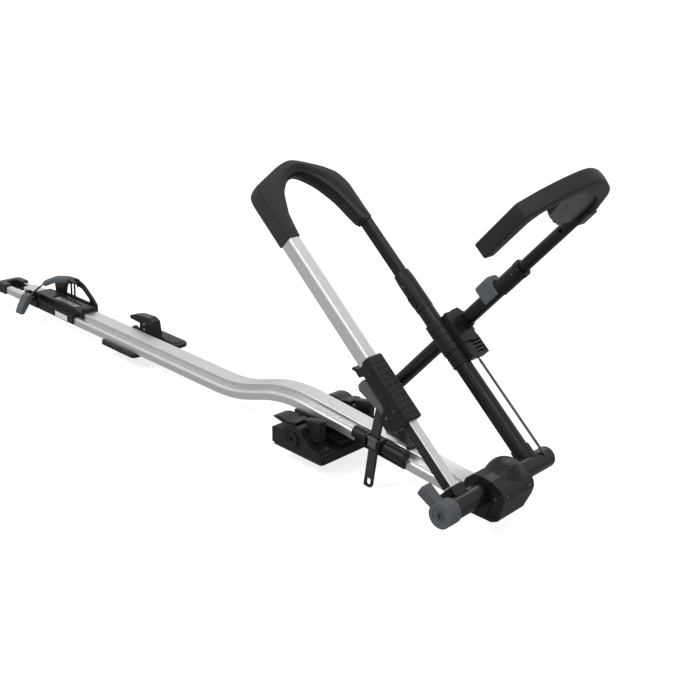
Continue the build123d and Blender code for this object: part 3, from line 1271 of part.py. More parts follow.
lock_mid = collar_start + collar_length + lock_body_length / 2
plate_under = lock_body_top
with BuildPart() as lock_housing:
    disc(leg_cut(lock_mid), (-far_leg_side, 0), lock_body_radius, lock_body_length)
    block(leg_cut(lock_mid), (-(far_leg_side + lock_body_face) / 2, (lock_body_top - lock_body_low) / 2),
          lock_body_face - far_leg_side, lock_body_top + lock_body_low, lock_body_length)
    for k in range(3):
        disc(leg_cut(collar_start + collar_length + (k + 1) * lock_body_length / 4), (-far_leg_side, 0),
             lock_body_radius + overrun, rod_radius, mode=Mode.SUBTRACT)
        disc(leg_cut(collar_start + collar_length + (k + 1) * lock_body_length / 4), (-far_leg_side, 0),
             lock_body_radius - lock_groove, rod_radius)
        block(leg_cut(collar_start + collar_length + (k + 1) * lock_body_length / 4),
              (-(far_leg_side + lock_body_face) / 2, (lock_body_top - lock_body_low) / 2),
              lock_body_face - far_leg_side, lock_body_top + lock_body_low, rod_radius)
    cuboid(-head_reach, head_reach, lock_body_face, lock_body_face + head_reach, 0, 2 * head_reach,
           mode=Mode.SUBTRACT)
    block(leg_cut((hood_start + collar_start + collar_length) / 2),
          (-(collar_radius + far_leg_side + lock_body_face) / 2, (hood_under + lock_body_top) / 2),
          lock_body_face - collar_radius - far_leg_side + 2 * (collar_radius + far_leg_side - lock_body_face) + fit,
          lock_body_top - hood_under, collar_start + collar_length - hood_start)
    block(leg_cut((hood_start + hood_end) / 2),
          (-(far_leg_side + hood_far) / 2, (hood_under + lock_body_top) / 2),
          hood_far - far_leg_side, lock_body_top - hood_under, hood_end - hood_start)
    cuboid(-head_reach, head_reach, hood_far, hood_far + head_reach, 0, 2 * head_reach, mode=Mode.SUBTRACT)
    for k in range(louvre_count):
        block(leg_cut(hood_start + louvre_width + (k + 1 / 2) * louvre_pitch),
              (-(lock_body_face + hood_far) / 2, lock_body_top), hood_far - lock_body_face - hood_corner,
              2 * louvre_depth, louvre_width, mode=Mode.SUBTRACT)
    disc(leg_side(lock_body_face), (arm_place, 0), pivot_radius, 2 * pivot_spigot)
    block(leg_cut(lock_mid), (-(plate_reach * plate_shares[0][1] + arm_side - lock_body_face) / 2
                              - lock_body_face, lock_body_top + plate_thickness / 2),
          -(plate_reach * plate_shares[0][1] + arm_side - lock_body_face), plate_thickness, lock_body_length)
    disc(leg_cut(lock_mid), (-far_leg_side, 0), far_radius, 4 * lock_body_length, mode=Mode.SUBTRACT)
    disc(leg_cut(hood_start), (-rod_side, rod_height), rod_radius + fit, 2 * rod_socket, mode=Mode.SUBTRACT)
    add(arm_collar.part, mode=Mode.SUBTRACT)
lock_housing.part.label = "lock_housing"
export_step(lock_housing.part, "parts/lock_housing.step")

rod_start = rod_radius
with BuildPart() as lock_rod:
    disc(leg_cut((rod_start + hood_start + rod_socket) / 2), (-rod_side, rod_height), rod_radius,
         hood_start + rod_socket - rod_start)
    disc(side_at(rod_side), head_at, tube_radius, overrun * 2, mode=Mode.SUBTRACT)
lock_rod.part.label = "lock_rod"
export_step(lock_rod.part, "parts/lock_rod.step")

# Hook arm: it folds about the spigot beside the far leg
arm_radius = arm_diameter / 2
hub_near = lock_body_face + plate_gap
arm_at = (arm_place, -arm_side)
with BuildPart() as arm_tube:
    disc(leg_top((arm_end - arm_tail) / 2), arm_at, arm_radius, arm_end + arm_tail)
    disc(leg_top((arm_end - arm_tail) / 2), arm_at, arm_radius - arm_wall, arm_end + arm_tail + overrun,
         mode=Mode.SUBTRACT)
arm_tube.part.label = "arm_tube"
export_step(arm_tube.part, "parts/arm_tube.step")

with BuildPart() as arm_plug:
    disc(leg_top(-arm_tail - arm_plug_thickness / 2), arm_at, arm_radius, arm_plug_thickness)
    disc(leg_top(-arm_tail + arm_plug_depth / 2), arm_at, arm_radius - arm_wall - fit, arm_plug_depth)
arm_plug.part.label = "arm_plug"
export_step(arm_plug.part, "parts/arm_plug.step")

with BuildPart() as arm_hub:
    disc(leg_side((hub_near + hub_far) / 2), (arm_place, 0), hub_radius, hub_far - hub_near)
    block(leg_side((hub_near + hub_far) / 2), (arm_place + (hub_riser_front - hub_riser_back) / 2,
                                               lock_body_top / 2), hub_riser_back + hub_riser_front,
          lock_body_top, hub_far - hub_near)
    slab(leg_top(lock_body_top + plate_thickness / 2),
         [(arm_place + a * plate_reach, -arm_side - b * plate_reach) for a, b in plate_shares],
         plate_thickness)
    disc(leg_top((lock_body_top + boss_round_end) / 2), arm_at, boss_round_radius,
         boss_round_end - lock_body_top)
    cuboid(-head_reach, head_reach, 0, hub_near, 0, 2 * head_reach, mode=Mode.SUBTRACT)
    disc(leg_side(hub_near), (arm_place, 0), pivot_radius + running_fit, 2 * (pivot_spigot),
         mode=Mode.SUBTRACT)
    disc(leg_top(0), arm_at, arm_radius, 2 * arm_tail, mode=Mode.SUBTRACT)
arm_hub.part.label = "arm_hub"
export_step(arm_hub.part, "parts/arm_hub.step")

arm_sleeve_end = arm_end + arm_sleeve_length
bar_radius = hook_bar_diameter / 2
with BuildPart() as arm_sleeve:
    disc(leg_top((arm_end + arm_sleeve_end) / 2), arm_at, arm_sleeve_diameter / 2, arm_sleeve_length)
    for place in (arm_sleeve_end - arm_sleeve_ridge_width / 2,
                  arm_sleeve_end - arm_sleeve_ridge_width * 5 / 2):
        disc(leg_top(place), arm_at, arm_sleeve_diameter / 2 + arm_sleeve_ridge, arm_sleeve_ridge_width)
    disc(leg_top((arm_end + arm_sleeve_end) / 2), arm_at, bar_radius + slide_fit / 2,
         arm_sleeve_length + overrun, mode=Mode.SUBTRACT)
    disc(leg_side(arm_side - arm_sleeve_diameter / 2), (arm_place, arm_screw_place), arm_screw_radius + fit,
         2 * arm_screw_radius, mode=Mode.SUBTRACT)
arm_sleeve.part.label = "arm_sleeve"
export_step(arm_sleeve.part, "parts/arm_sleeve.step")

with BuildPart() as arm_screw:
    disc(leg_side(arm_side - arm_sleeve_diameter / 2 + (arm_screw_radius - screw_proud) / 2),
         (arm_place, arm_screw_place), arm_screw_radius, arm_screw_radius + screw_proud)
arm_screw.part.label = "arm_screw"
export_step(arm_screw.part, "parts/arm_screw.step")

grip_mid = grip_block_start + grip_block_length / 2
with BuildPart() as arm_button:
    block(leg_top(grip_mid), (arm_place + (grip_block_top - grip_block_low) / 2, -arm_side),
          grip_block_top + grip_block_low, 2 * grip_block_half, grip_block_length - plate_gap)
    fillet(arm_button.edges().filter_by(Axis((0, 0, 0), above))
           .sort_by(Axis((0, 0, 0), along))[-2:], radius=grip_block_corner)
    for end in (0, -1):
        fillet(arm_button.faces().sort_by(Axis((0, 0, 0), above))[end].edges(), radius=grip_block_edge)
    for k in range(-3, 4):
        block(leg_top(grip_mid + k * grip_block_length / 9), (arm_place + grip_block_top, -arm_side),
              rod_radius, 2 * grip_block_half + overrun, rod_radius, mode=Mode.SUBTRACT)
    block(leg_top(grip_mid), (arm_place + (grip_block_travel + slide_fit - arm_diameter) / 2, -arm_side),
          grip_block_travel + slide_fit + arm_diameter, arm_diameter + 2 * slide_fit,
          grip_block_length + overrun, mode=Mode.SUBTRACT)
    disc(leg_top(grip_mid), (arm_place + grip_block_travel + slide_fit, -arm_side), arm_radius + slide_fit,
         grip_block_length + overrun, mode=Mode.SUBTRACT)
arm_button.part.label = "arm_button"
export_step(arm_button.part, "parts/arm_button.step")

# Hook: its bar slides in the arm
hook_across = leg_cut(arm_place)
with BuildPart() as hook_bar:
    disc(leg_top((hook_bar_start + hook_bar_end) / 2), arm_at, bar_radius, hook_bar_end - hook_bar_start)
    disc(leg_top((hook_bar_start + hook_bar_end) / 2), arm_at, bar_radius - hook_bar_wall,
         hook_bar_end, mode=Mode.SUBTRACT)
    disc(leg_side(arm_side), (arm_place, hook_hole_place), hook_hole_radius,
         hook_bar_diameter + overrun, mode=Mode.SUBTRACT)
hook_bar.part.label = "hook_bar"
export_step(hook_bar.part, "parts/hook_bar.step")

with BuildPart() as hook_core:
    block(leg_top((hook_socket_start + hook_bar_end) / 2), arm_at, 2 * hook_socket_half * 0.86,
          2 * hook_socket_half, hook_bar_end - hook_socket_start, corner=hook_corner)
    slab(hook_across, [(-b * hook_half, a * hook_reach) for a, b in hook_web_shares], hook_web_width)
    disc(leg_top(hook_bar_end / 2), arm_at, bar_radius, hook_bar_end, mode=Mode.SUBTRACT)
hook_core.part.label = "hook_core"
export_step(hook_core.part, "parts/hook_core.step")

with BuildPart() as hook_pad:
    slab(hook_across, [(-b * hook_half, a * hook_reach) for a, b in hook_pad_shares], hook_width)
    fillet(hook_pad.faces().sort_by(Axis((0, 0, 0), along))[-1].edges(), radius=hook_edge)
    fillet(hook_pad.faces().sort_by(Axis((0, 0, 0), along))[0].edges(), radius=hook_edge)
    add(hook_core.part, mode=Mode.SUBTRACT)
    disc(leg_top(hook_bar_end / 2), arm_at, bar_radius, hook_bar_end, mode=Mode.SUBTRACT)
hook_pad.part.label = "hook_pad"
export_step(hook_pad.part, "parts/hook_pad.step")
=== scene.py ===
from math import cos, pi, radians, sin, tan

import bpy
import numpy as np
from bpy.props import FloatProperty, FloatVectorProperty, IntProperty, PointerProperty
from bpy.types import Operator, Panel, PropertyGroup
from mathutils import Matrix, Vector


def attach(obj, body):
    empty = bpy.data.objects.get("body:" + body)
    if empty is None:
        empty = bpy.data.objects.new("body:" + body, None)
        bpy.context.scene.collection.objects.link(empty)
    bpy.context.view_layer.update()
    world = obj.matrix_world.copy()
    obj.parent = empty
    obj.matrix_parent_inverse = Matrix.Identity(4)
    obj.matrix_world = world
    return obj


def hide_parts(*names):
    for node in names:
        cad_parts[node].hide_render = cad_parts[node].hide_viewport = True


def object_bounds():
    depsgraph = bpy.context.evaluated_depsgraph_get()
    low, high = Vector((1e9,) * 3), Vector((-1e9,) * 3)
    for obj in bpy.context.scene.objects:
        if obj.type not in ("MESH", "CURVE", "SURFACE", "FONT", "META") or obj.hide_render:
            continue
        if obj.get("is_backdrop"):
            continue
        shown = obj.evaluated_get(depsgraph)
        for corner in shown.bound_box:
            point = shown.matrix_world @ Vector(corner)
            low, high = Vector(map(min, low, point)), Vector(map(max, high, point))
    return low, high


bl_info = {
    "name": "Roof carrier for an upright bicycle",
    "version": (1, 0, 0),
    "blender": (4, 5, 0),
    "location": "3D View > Sidebar > Carrier",
    "description": "Pads, straps, trim and finishes of a roof mounted bicycle carrier",
    "category": "Add Mesh",
}

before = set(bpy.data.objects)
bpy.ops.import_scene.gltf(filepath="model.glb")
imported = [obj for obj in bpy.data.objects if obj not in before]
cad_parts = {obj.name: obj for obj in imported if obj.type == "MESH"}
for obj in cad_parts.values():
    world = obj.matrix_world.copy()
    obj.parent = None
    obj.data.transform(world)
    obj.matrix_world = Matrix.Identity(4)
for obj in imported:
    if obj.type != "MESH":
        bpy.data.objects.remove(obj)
cad_low, cad_high = (tuple(corner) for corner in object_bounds())

MM = 0.001

# The front foot's clamp axle: along and up
BOSS = np.array((-11.0, 28.0))

# The dome on the head's top: its centre, radius, height and far side, and the head's outline
DOME_PLACE, DOME_RADIUS, DOME_HEIGHT, DOME_SIDE = (387.0, 17.0), 36.0, 103.8, 44.0
HEAD_TOP = np.array([(-0.81, 0.07), (-0.70, 0.36), (-0.43, 0.64), (0.0, 0.70), (0.38, 0.64), (0.81, 0.43),
                     (0.947, 0.25)]) * (47.0, 44.0) + (383.0, 60.0)

# The rear foot's far shoe: its ends along and across
SHOE = (-672.0, -556.0, 66.0, 108.0)

# How far from the rail's middle the clamp levers and the clamp blocks stand
LEVER_MIDDLE, BLOCK_MIDDLE = 74.4, 69.0

# The lock rod: across the legs and out of their plane
ROD_PLACE = (130.0, 20.5)

# The ratchet housing's near cheek, across the legs
CHEEK = -118.0

# The rack's first tooth along the leg, and its pitch, in millimetres
RACK_FIRST = 38.4
RACK_PITCH = 4.4

# The hoop's legs: a point on their axis, the way along them, and the way out of their plane
LEG = radians(40)
ALONG = np.array((-cos(LEG), 0.0, sin(LEG)))
ABOVE = np.array((sin(LEG), 0.0, cos(LEG)))
ACROSS = np.array((0.0, 1.0, 0.0))
TUBE_AXIS = np.array((383.0, 0.0, 60.0))

# The rail's front stretch
SLOPE = radians(4.8)
FORWARD = np.array((cos(SLOPE), 0.0, -sin(SLOPE)))
FRONT_UP = np.array((sin(SLOPE), 0.0, cos(SLOPE)))
FRONT_START = np.array((0.0, 0.0, 89.8 - 107.5 * tan(SLOPE)))

# The rear strap's upright plane, laid across the tray
STRAP_TURN = radians(35.6)
STRAP_START = np.array((-1000.0, -48.0, 0.0))
STRAP_RUN = np.array((cos(STRAP_TURN), sin(STRAP_TURN), 0.0))
STRAP_SIDE = np.array((sin(STRAP_TURN), -cos(STRAP_TURN), 0.0))
UPWARD = np.array((0.0, 0.0, 1.0))

# Outlines in millimetres. Hoop: along the legs, and across. Hook: across, and out of the legs' plane
HOOP_OUTER = np.array([(0.769, -1.0), (0.915, -0.995), (0.936, -0.93), (0.984, -0.30), (0.996, -0.09),
                       (1.0, 0.05), (0.991, 0.25), (0.966, 0.63), (0.940, 0.87), (0.905, 0.965),
                       (0.783, 1.0)]) * (702.0, 116.0)
HOOP_INNER = np.array([(0.769, -0.735), (0.829, -0.68), (0.902, -0.48), (0.949, -0.21), (0.964, 0.05),
                       (0.960, 0.20), (0.921, 0.455), (0.866, 0.64), (0.805, 0.735),
                       (0.776, 0.80)]) * (702.0, 116.0)
HOOK_OUTER = np.array([(1.38, 0.778), (1.10, 0.906), (0.47, 0.983), (0.14, 1.0), (-0.33, 0.962),
                       (-0.67, 0.923), (-1.0, 0.870), (-1.0, 0.661)]) * (107.0, 478.0)
HOOK_INNER = np.array([(1.19, 0.778), (1.14, 0.812), (0.944, 0.866), (0.084, 0.933), (-0.19, 0.923),
                       (-0.42, 0.902), (-0.645, 0.872), (-0.748, 0.835), (-0.776, 0.665)]) * (107.0, 478.0)
HOOK_WEB = np.array([(1.12, 0.745), (0.66, 0.735), (0.44, 0.745), (0.16, 0.785), (0.00, 0.828),
                     (-0.08, 0.900), (0.02, 0.922), (0.90, 0.862), (1.10, 0.815)]) * (107.0, 478.0)
HOOK_PLACE = 283.0
# Lengths of the cover, the liner and the hook's pad along their lines
COVER_LENGTH, LINER_LENGTH, HOOK_LENGTH = 400.0, 342.0, 380.0
# The web's face, from the middle of the hook
WEB_FACE = 5.4

FRONT_STRAP = np.array([(-43.5, -98.0), (-43.5, 11.2), (-39.0, 64.0), (-21.75, 80.0), (18.5, 76.8),
                        (37.0, 49.6), (37.0, 5.1)])
FRONT_STRAP_PLACE = 147.0
REAR_STRAP = np.array([(0.145, 0.345), (0.145, 0.50), (0.37, 0.82), (0.58, 0.96), (0.80, 0.98),
                       (0.94, 0.896)]) * (140.0, 96.0)

# The studio: half the floor's width in metres, how much the camera sees it glow, and the sky's light
FLOOR_REACH, FLOOR_GLOW, SKY_LIGHT = 80.0, 0.79, 0.42

# Which nodes take which finish
NODE_FINISHES = {
    "drawn_aluminium": ("rail", "rail_front", "rail_tail_near", "rail_tail_far"),
    "leg_aluminium": ("outer_leg", "inner_leg"),
    "powder_black": ("cross_tube", "far_leg", "arm_tube", "hook_bar", "far_bar", "hoop_frame"),
    "moulded_black": ("tail_cap", "head_lower", "head_upper", "front_foot_base", "front_rail_bracket",
                      "strap_bracket", "front_lever_near", "front_lever_far", "clamp_axle",
                      "rear_foot_base", "rear_foot_lever", "tray_body", "rear_buckle", "leg_foot",
                      "far_leg_socket", "leg_sleeve", "sleeve_button", "arm_collar", "lock_housing",
                      "ratchet_housing", "release_tab", "arm_hub", "arm_sleeve", "arm_plug", "tube_cap",
                      "hook_core", "wheel_stop"),
    "rack_black": ("leg_rack",),
    "slate_grip": ("end_knob", "ratchet_lever", "arm_button", "strap_tab", "rear_buckle_lever"),
    "ladder_strap": ("front_strap", "rear_strap"),
    "foot_rubber": ("front_foot_pad", "rear_foot_rubber"),
    "turned_steel": ("rear_lever_screws",),
    "dark_steel": ("head_screws", "ratchet_screws", "sleeve_screw", "arm_screw", "lock_cylinder"),
    "bare_plate": ("label_plate",),
}


def metres(name, description, default, low, high):
    """A length of the panel, in metres."""
    return FloatProperty(name=name, description=description, default=default, min=low, max=high,
                         unit="LENGTH")


def shade(name, description, colour):
    """A colour of the panel."""
    return FloatVectorProperty(name=name, description=description, subtype="COLOR", size=4,
                               default=(*colour, 1.0), min=0.0, max=1.0)


class CarrierSizes(PropertyGroup):
    """Sizes of the pads, straps and trim."""

    pad_depth: metres("Hoop pad depth", "Depth of the hoop's pad, front to back", 0.032, 0.02, 0.05)
    pad_crown: metres("Hoop pad crown", "How far the hoop pad's faces swell", 0.0016, 0.0, 0.006)
    pad_corner: metres("Hoop pad corner", "Radius of the hoop pad's edges", 0.0058, 0.001, 0.012)
    hem_place: metres("Hem place", "From the cover's mouth to its hem stitching", 0.0085, 0.003, 0.02)
    seam_depth: metres("Seam depth", "How deep the sewn seams pull in", 0.0010, 0.0, 0.003)
    stitch_pitch: metres("Stitch pitch", "From one stitch to the next", 0.0034, 0.001, 0.01)
    hook_width: metres("Hook pad width", "Width of the hook's pad", 0.0275, 0.015, 0.04)
    hook_corner: metres("Hook pad corner", "Radius of the hook pad's long edges", 0.0034, 0.001, 0.01)
    rung_pitch: metres("Rung pitch", "From one rung of the ladder straps to the next", 0.0042, 0.002, 0.008)
    rung_height: metres("Rung height", "How far the rungs stand up", 0.0012, 0.0003, 0.002)
    edge_round: metres("Moulded edge", "Rounding of the moulded parts' edges", 0.0015, 0.0001, 0.003)
    path_steps: IntProperty(name="Steps along a pad", description="Rings along each pad's path",
                            default=150, min=40, max=400)


class CarrierColours(PropertyGroup):
    """Colours of the finishes."""

    aluminium: shade("Aluminium", "Bare drawn aluminium", (0.60, 0.605, 0.615))
    powder: shade("Powder coat", "Black powder coated tubes", (0.0055, 0.0055, 0.0058))
    moulded: shade("Moulded black", "Black moulded plastic", (0.0100, 0.0100, 0.0104))
    slate: shade("Slate grip", "Slate grey grips and levers", (0.098, 0.108, 0.116))
    strap: shade("Strap", "Ladder straps", (0.012, 0.012, 0.0125))
    pad: shade("Pad skin", "Skin of the hoop's and hook's pads", (0.024, 0.0243, 0.0255))
    rubber: shade("Rubber", "Foot pads and liner", (0.007, 0.007, 0.007))
    steel: shade("Steel", "Screws, rod and lock", (0.56, 0.57, 0.59))
    plate: shade("Plate", "Bare plate on the tray", (0.82, 0.82, 0.82))
    floor: shade("Floor", "Studio floor", (0.62, 0.62, 0.62))


def sizes():
    """The sizes that the panel shows."""
    return bpy.context.scene.carrier_sizes


def colours():
    """The colours that the panel shows."""
    return bpy.context.scene.carrier_colours


# Places in the frame

def placer(start, *ways):
    """A function that turns distances along the ways, in millimetres, into points in metres: the start
    plus each distance times its way."""
    def place(*distances):
        points = start
        for distance, way in zip(np.broadcast_arrays(*distances), ways):
            points = points + distance[..., None] * way
        return points * MM
    return place


# Along the hoop's legs, across them, and out of their plane
on_legs = placer(TUBE_AXIS, ALONG, ACROSS, ABOVE)
# Forward, across, and up from the front stretch's plateau
on_front = placer(FRONT_START, FORWARD, ACROSS, FRONT_UP)
# Along the rear strap's plane, up, and out of that plane
on_strap = placer(STRAP_START, STRAP_RUN, UPWARD, STRAP_SIDE)


# Paths and sections, as whole arrays

def unit(ways):
    """Ways cut to a length of 1."""
    return ways / np.linalg.norm(ways, axis=-1, keepdims=True)


def even_line(points, count=1201):
    """A polyline resampled at equal steps: each coordinate is read off against the length run so far."""
    points = np.asarray(points, float)
    run = np.r_[0.0, np.cumsum(np.linalg.norm(np.diff(points, axis=0), axis=1))]
    fine = np.linspace(0.0, run[-1], count)
    return np.stack([np.interp(fine, run, points[:, k]) for k in range(points.shape[1])], 1), run[-1]


def eased(points, soften):
    """A polyline with its corners eased: the even line averaged under a cosine bell of that half length.
    The line is carried past each end by its own turned image, so the ends stay where they are."""
    line, length = even_line(points)
    half = max(int(soften / length * (len(line) - 1)), 1)
    bell = np.hanning(2 * half + 3)[1:-1]
    bell /= bell.sum()
    before = 2 * line[0] - line[half:0:-1]
    after = 2 * line[-1] - line[-2:-half - 2:-1]
    full = np.concatenate([before, line, after])
    return np.stack([np.convolve(full[:, k], bell, mode="valid") for k in range(full.shape[1])], 1)


def read_line(line, shares):
    """The points of a fine line at shares of its length."""
    grid = np.linspace(0.0, 1.0, len(line))
    return np.stack([np.interp(shares, grid, line[:, k]) for k in range(line.shape[1])], 1)


def rounded_ring(flat, arc):
    """A rounded rectangle's ring as cores and directions: a point is its core times the half sizes less
    the radius, plus the radius times its direction. It starts at the middle of the outer side."""
    run = np.linspace(-1.0, 1.0, flat + 2)[1:-1]
    turn = np.linspace(0.0, pi / 2, arc)
    one, cores, ways = np.ones(flat), [], []
    for quarter, (core, way) in enumerate((
            (np.stack([one, run], 1), (1, 0)), (np.stack([-run, one], 1), (0, 1)),
            (np.stack([-one, -run], 1), (-1, 0)), (np.stack([run, -one], 1), (0, -1)))):
        corner = ((1, 1), (-1, 1), (-1, -1), (1, -1))[quarter]
        cores += [core, np.tile(corner, (arc, 1))]
        angle = turn + quarter * pi / 2
        ways += [np.tile(way, (flat, 1)), np.stack([np.cos(angle), np.sin(angle)], 1)]
    return np.concatenate(cores).astype(float), np.concatenate(ways).astype(float)


def bump(x, centre, half):
    """A smooth hill of height 1 at the centre that falls to 0 at plus and minus half."""
    x = np.clip(np.abs(x - centre) / half, 0.0, 1.0)
    return 0.5 + 0.5 * np.cos(pi * x)


def rise(x, start, end):
    """A smooth step from 0 at the start to 1 at the end."""
    x = np.clip((x - start) / (end - start), 0.0, 1.0)
    return x * x * (3 - 2 * x)


# Meshes

def add_mesh(name, points, faces, sharp=40.0):
    """A mesh object at the origin, from its points in metres and its faces. If the faces enclose a
    negative volume they are turned round, so that they point outwards."""
    points = np.asarray(points, float).reshape(-1, 3)
    size = faces.shape[1]
    first, volume = points[faces[:, 0]], 0.0
    for k in range(1, size - 1):
        volume += np.einsum("ij,ij->i", first, np.cross(points[faces[:, k]], points[faces[:, k + 1]])).sum()
    if volume < 0:
        faces = faces[:, ::-1]
    mesh = bpy.data.meshes.new(name)
    mesh.vertices.add(len(points))
    mesh.vertices.foreach_set("co", points.astype(np.float32).ravel())
    mesh.loops.add(faces.size)
    mesh.loops.foreach_set("vertex_index", faces.astype(np.int32).ravel())
    mesh.polygons.add(len(faces))
    mesh.polygons.foreach_set("loop_start", np.arange(0, faces.size, size, dtype=np.int32))
    mesh.polygons.foreach_set("loop_total", np.full(len(faces), size, dtype=np.int32))
    mesh.update(calc_edges=True)
    mesh.validate()
    mesh.shade_smooth()
    if sharp:
        mesh.set_sharp_from_angle(angle=radians(sharp))
    made = bpy.data.objects.new(name, mesh)
    bpy.context.scene.collection.objects.link(made)
    return made


def ring_faces(rings, around, start=0):
    """Faces between neighbouring closed rings: point j of ring i joins j and j + 1 of ring i + 1."""
    i, j = np.meshgrid(np.arange(rings - 1), np.arange(around), indexing="ij")
    k = (j + 1) % around
    quads = np.stack([i * around + j, i * around + k, (i + 1) * around + k, (i + 1) * around + j], -1)
    return quads.reshape(-1, 4) + start


def closed_rings(rings):
    """Points and faces of a body made of closed rings. Each end is drawn in to its middle, where the last
    ring is all but a point, so the surface has no hole."""
    rings = np.asarray(rings, float)
    ends = [rings[k].mean(0, keepdims=True) + (rings[k] - rings[k].mean(0)) * 0.002 for k in (0, -1)]
    full = np.concatenate([ends[0][None], rings, ends[1][None]])
    return full.reshape(-1, 3), ring_faces(len(full), full.shape[1])


def repeated(points, faces, places, axes):
    """Copies of one small shape: each copy is its place plus the shape's coordinates times its axes."""
    count = len(places)
    made = places[:, None, :] + np.einsum("pk,nkj->npj", points, axes)
    shift = (np.arange(count) * len(points))[:, None, None]
    return made.reshape(-1, 3), (faces[None] + shift).reshape(-1, faces.shape[1])


BAR_FACES = np.array([(0, 3, 2, 1), (4, 5, 6, 7), (0, 1, 5, 4), (1, 2, 6, 5), (2, 3, 7, 6), (3, 0, 4, 7)])


def bar_shape(length, width, height, taper=0.62):
    """A low bar with sloping long sides: length along x, width along y, height along z. The foot is sunk
    a little so that it meets what carries it."""
    x, y, z = length / 2, width / 2, height
    foot = [(-x, -y, -z * 0.4), (x, -y, -z * 0.4), (x, y, -z * 0.4), (-x, y, -z * 0.4)]
    head = [(-x * taper, -y * 0.96, z), (x * taper, -y * 0.96, z), (x * taper, y * 0.96, z),
            (-x * taper, y * 0.96, z)]
    return np.array(foot + head)


def bead(name, line, side, out, radius, sharp=50.0):
    """A half-round bead along a line: a half circle in the plane of the side and out directions, carried
    along the line, and closed underneath."""
    line, side, out = (np.asarray(v, float) for v in (line, side, out))
    angle = np.linspace(-0.25, pi + 0.25, 9)
    shrink = np.clip(np.minimum(np.arange(len(line)), np.arange(len(line))[::-1]) / 2.0, 0.15, 1.0)
    angle = angle[None, :, None]
    ring = np.cos(angle) * side[:, None, :] + np.sin(angle) * out[None, None, :]
    points, faces = closed_rings(line[:, None, :] + ring * (radius * shrink)[:, None, None])
    return add_mesh(name, points, faces, sharp)


def torus(name, centre, radius, tube, sharp=0.0):
    """A ring in an upright plane along X: a circle of the tube's radius carried round a circle of the
    ring's radius, closed both ways."""
    turn = np.linspace(0.0, 2 * pi, 72, endpoint=False)[:, None]
    round_ = np.linspace(0.0, 2 * pi, 14, endpoint=False)[None, :]
    reach = radius + tube * np.cos(round_)
    points = np.stack([centre[0] + reach * np.cos(turn), centre[1] + tube * np.sin(round_) + 0 * turn,
                       centre[2] + reach * np.sin(turn)], -1) * MM
    faces = ring_faces(73, 14) % (72 * 14)
    return add_mesh(name, points, faces, sharp)


# Finishes

def node(tree, kind, **settings):
    """A shader node with its properties set."""
    made = tree.nodes.new(kind)
    for key, value in settings.items():
        setattr(made, key, value)
    return made


def feed(tree, source, target):
    """Joins an output to an input."""
    tree.links.new(source, target)


def noise(tree, scale, detail=3.0, rough=0.55, turn=0.0):
    """A noise value over Object coordinates, turned about Y. The scale is one number, or three where the
    noise is stretched."""
    stretched = isinstance(scale, tuple)
    place = node(tree, "ShaderNodeTexCoord")
    map_ = node(tree, "ShaderNodeMapping")
    map_.inputs["Rotation"].default_value = (0.0, turn, 0.0)
    map_.inputs["Scale"].default_value = scale if stretched else (1.0, 1.0, 1.0)
    feed(tree, place.outputs["Object"], map_.inputs["Vector"])
    made = node(tree, "ShaderNodeTexNoise")
    made.inputs["Scale"].default_value = 1.0 if stretched else scale
    made.inputs["Detail"].default_value = detail
    made.inputs["Roughness"].default_value = rough
    feed(tree, map_.outputs["Vector"], made.inputs["Vector"])
    return made.outputs["Fac"]


def spread(tree, value, low, high, start=0.3, end=0.7):
    """A value moved from one range into another."""
    made = node(tree, "ShaderNodeMapRange")
    for key, limit in (("From Min", start), ("From Max", end), ("To Min", low), ("To Max", high)):
        made.inputs[key].default_value = limit
    feed(tree, value, made.inputs["Value"])
    return made.outputs["Result"]


def tint(tree, value, colour, low, high, start=0.3, end=0.7):
    """A colour between two shades of one colour, by a value."""
    made = node(tree, "ShaderNodeMix", data_type="RGBA")
    made.inputs["A"].default_value = (*[c * low for c in colour[:3]], 1.0)
    made.inputs["B"].default_value = (*[min(c * high, 1.0) for c in colour[:3]], 1.0)
    feed(tree, spread(tree, value, 0.0, 1.0, start, end), made.inputs["Factor"])
    return made.outputs["Result"]


def relief(tree, layers, edge=0.0):
    """A bump normal from layers of (height value, distance in metres), over edges that look rounded by
    the edge's radius."""
    normal = None
    if edge:
        rounded = node(tree, "ShaderNodeBevel", samples=6)
        rounded.inputs["Radius"].default_value = edge
        normal = rounded.outputs["Normal"]
    for value, distance in layers:
        made = node(tree, "ShaderNodeBump")
        made.inputs["Distance"].default_value = distance
        made.inputs["Strength"].default_value = 1.0
        feed(tree, value, made.inputs["Height"])
        if normal is not None:
            feed(tree, normal, made.inputs["Normal"])
        normal = made.outputs["Normal"]
    return normal


def maths(tree, operation, source, number):
    """A node that does one sum with a value and a number."""
    made = node(tree, "ShaderNodeMath", operation=operation)
    made.inputs[1].default_value = number
    feed(tree, source, made.inputs[0])
    return made.outputs["Value"]


def new_finish(name):
    """A material with one principled shader, and that shader."""
    material = bpy.data.materials.new(name)
    material.use_nodes = True
    tree = material.node_tree
    shader = next(n for n in tree.nodes if n.type == "BSDF_PRINCIPLED")
    return material, tree, shader


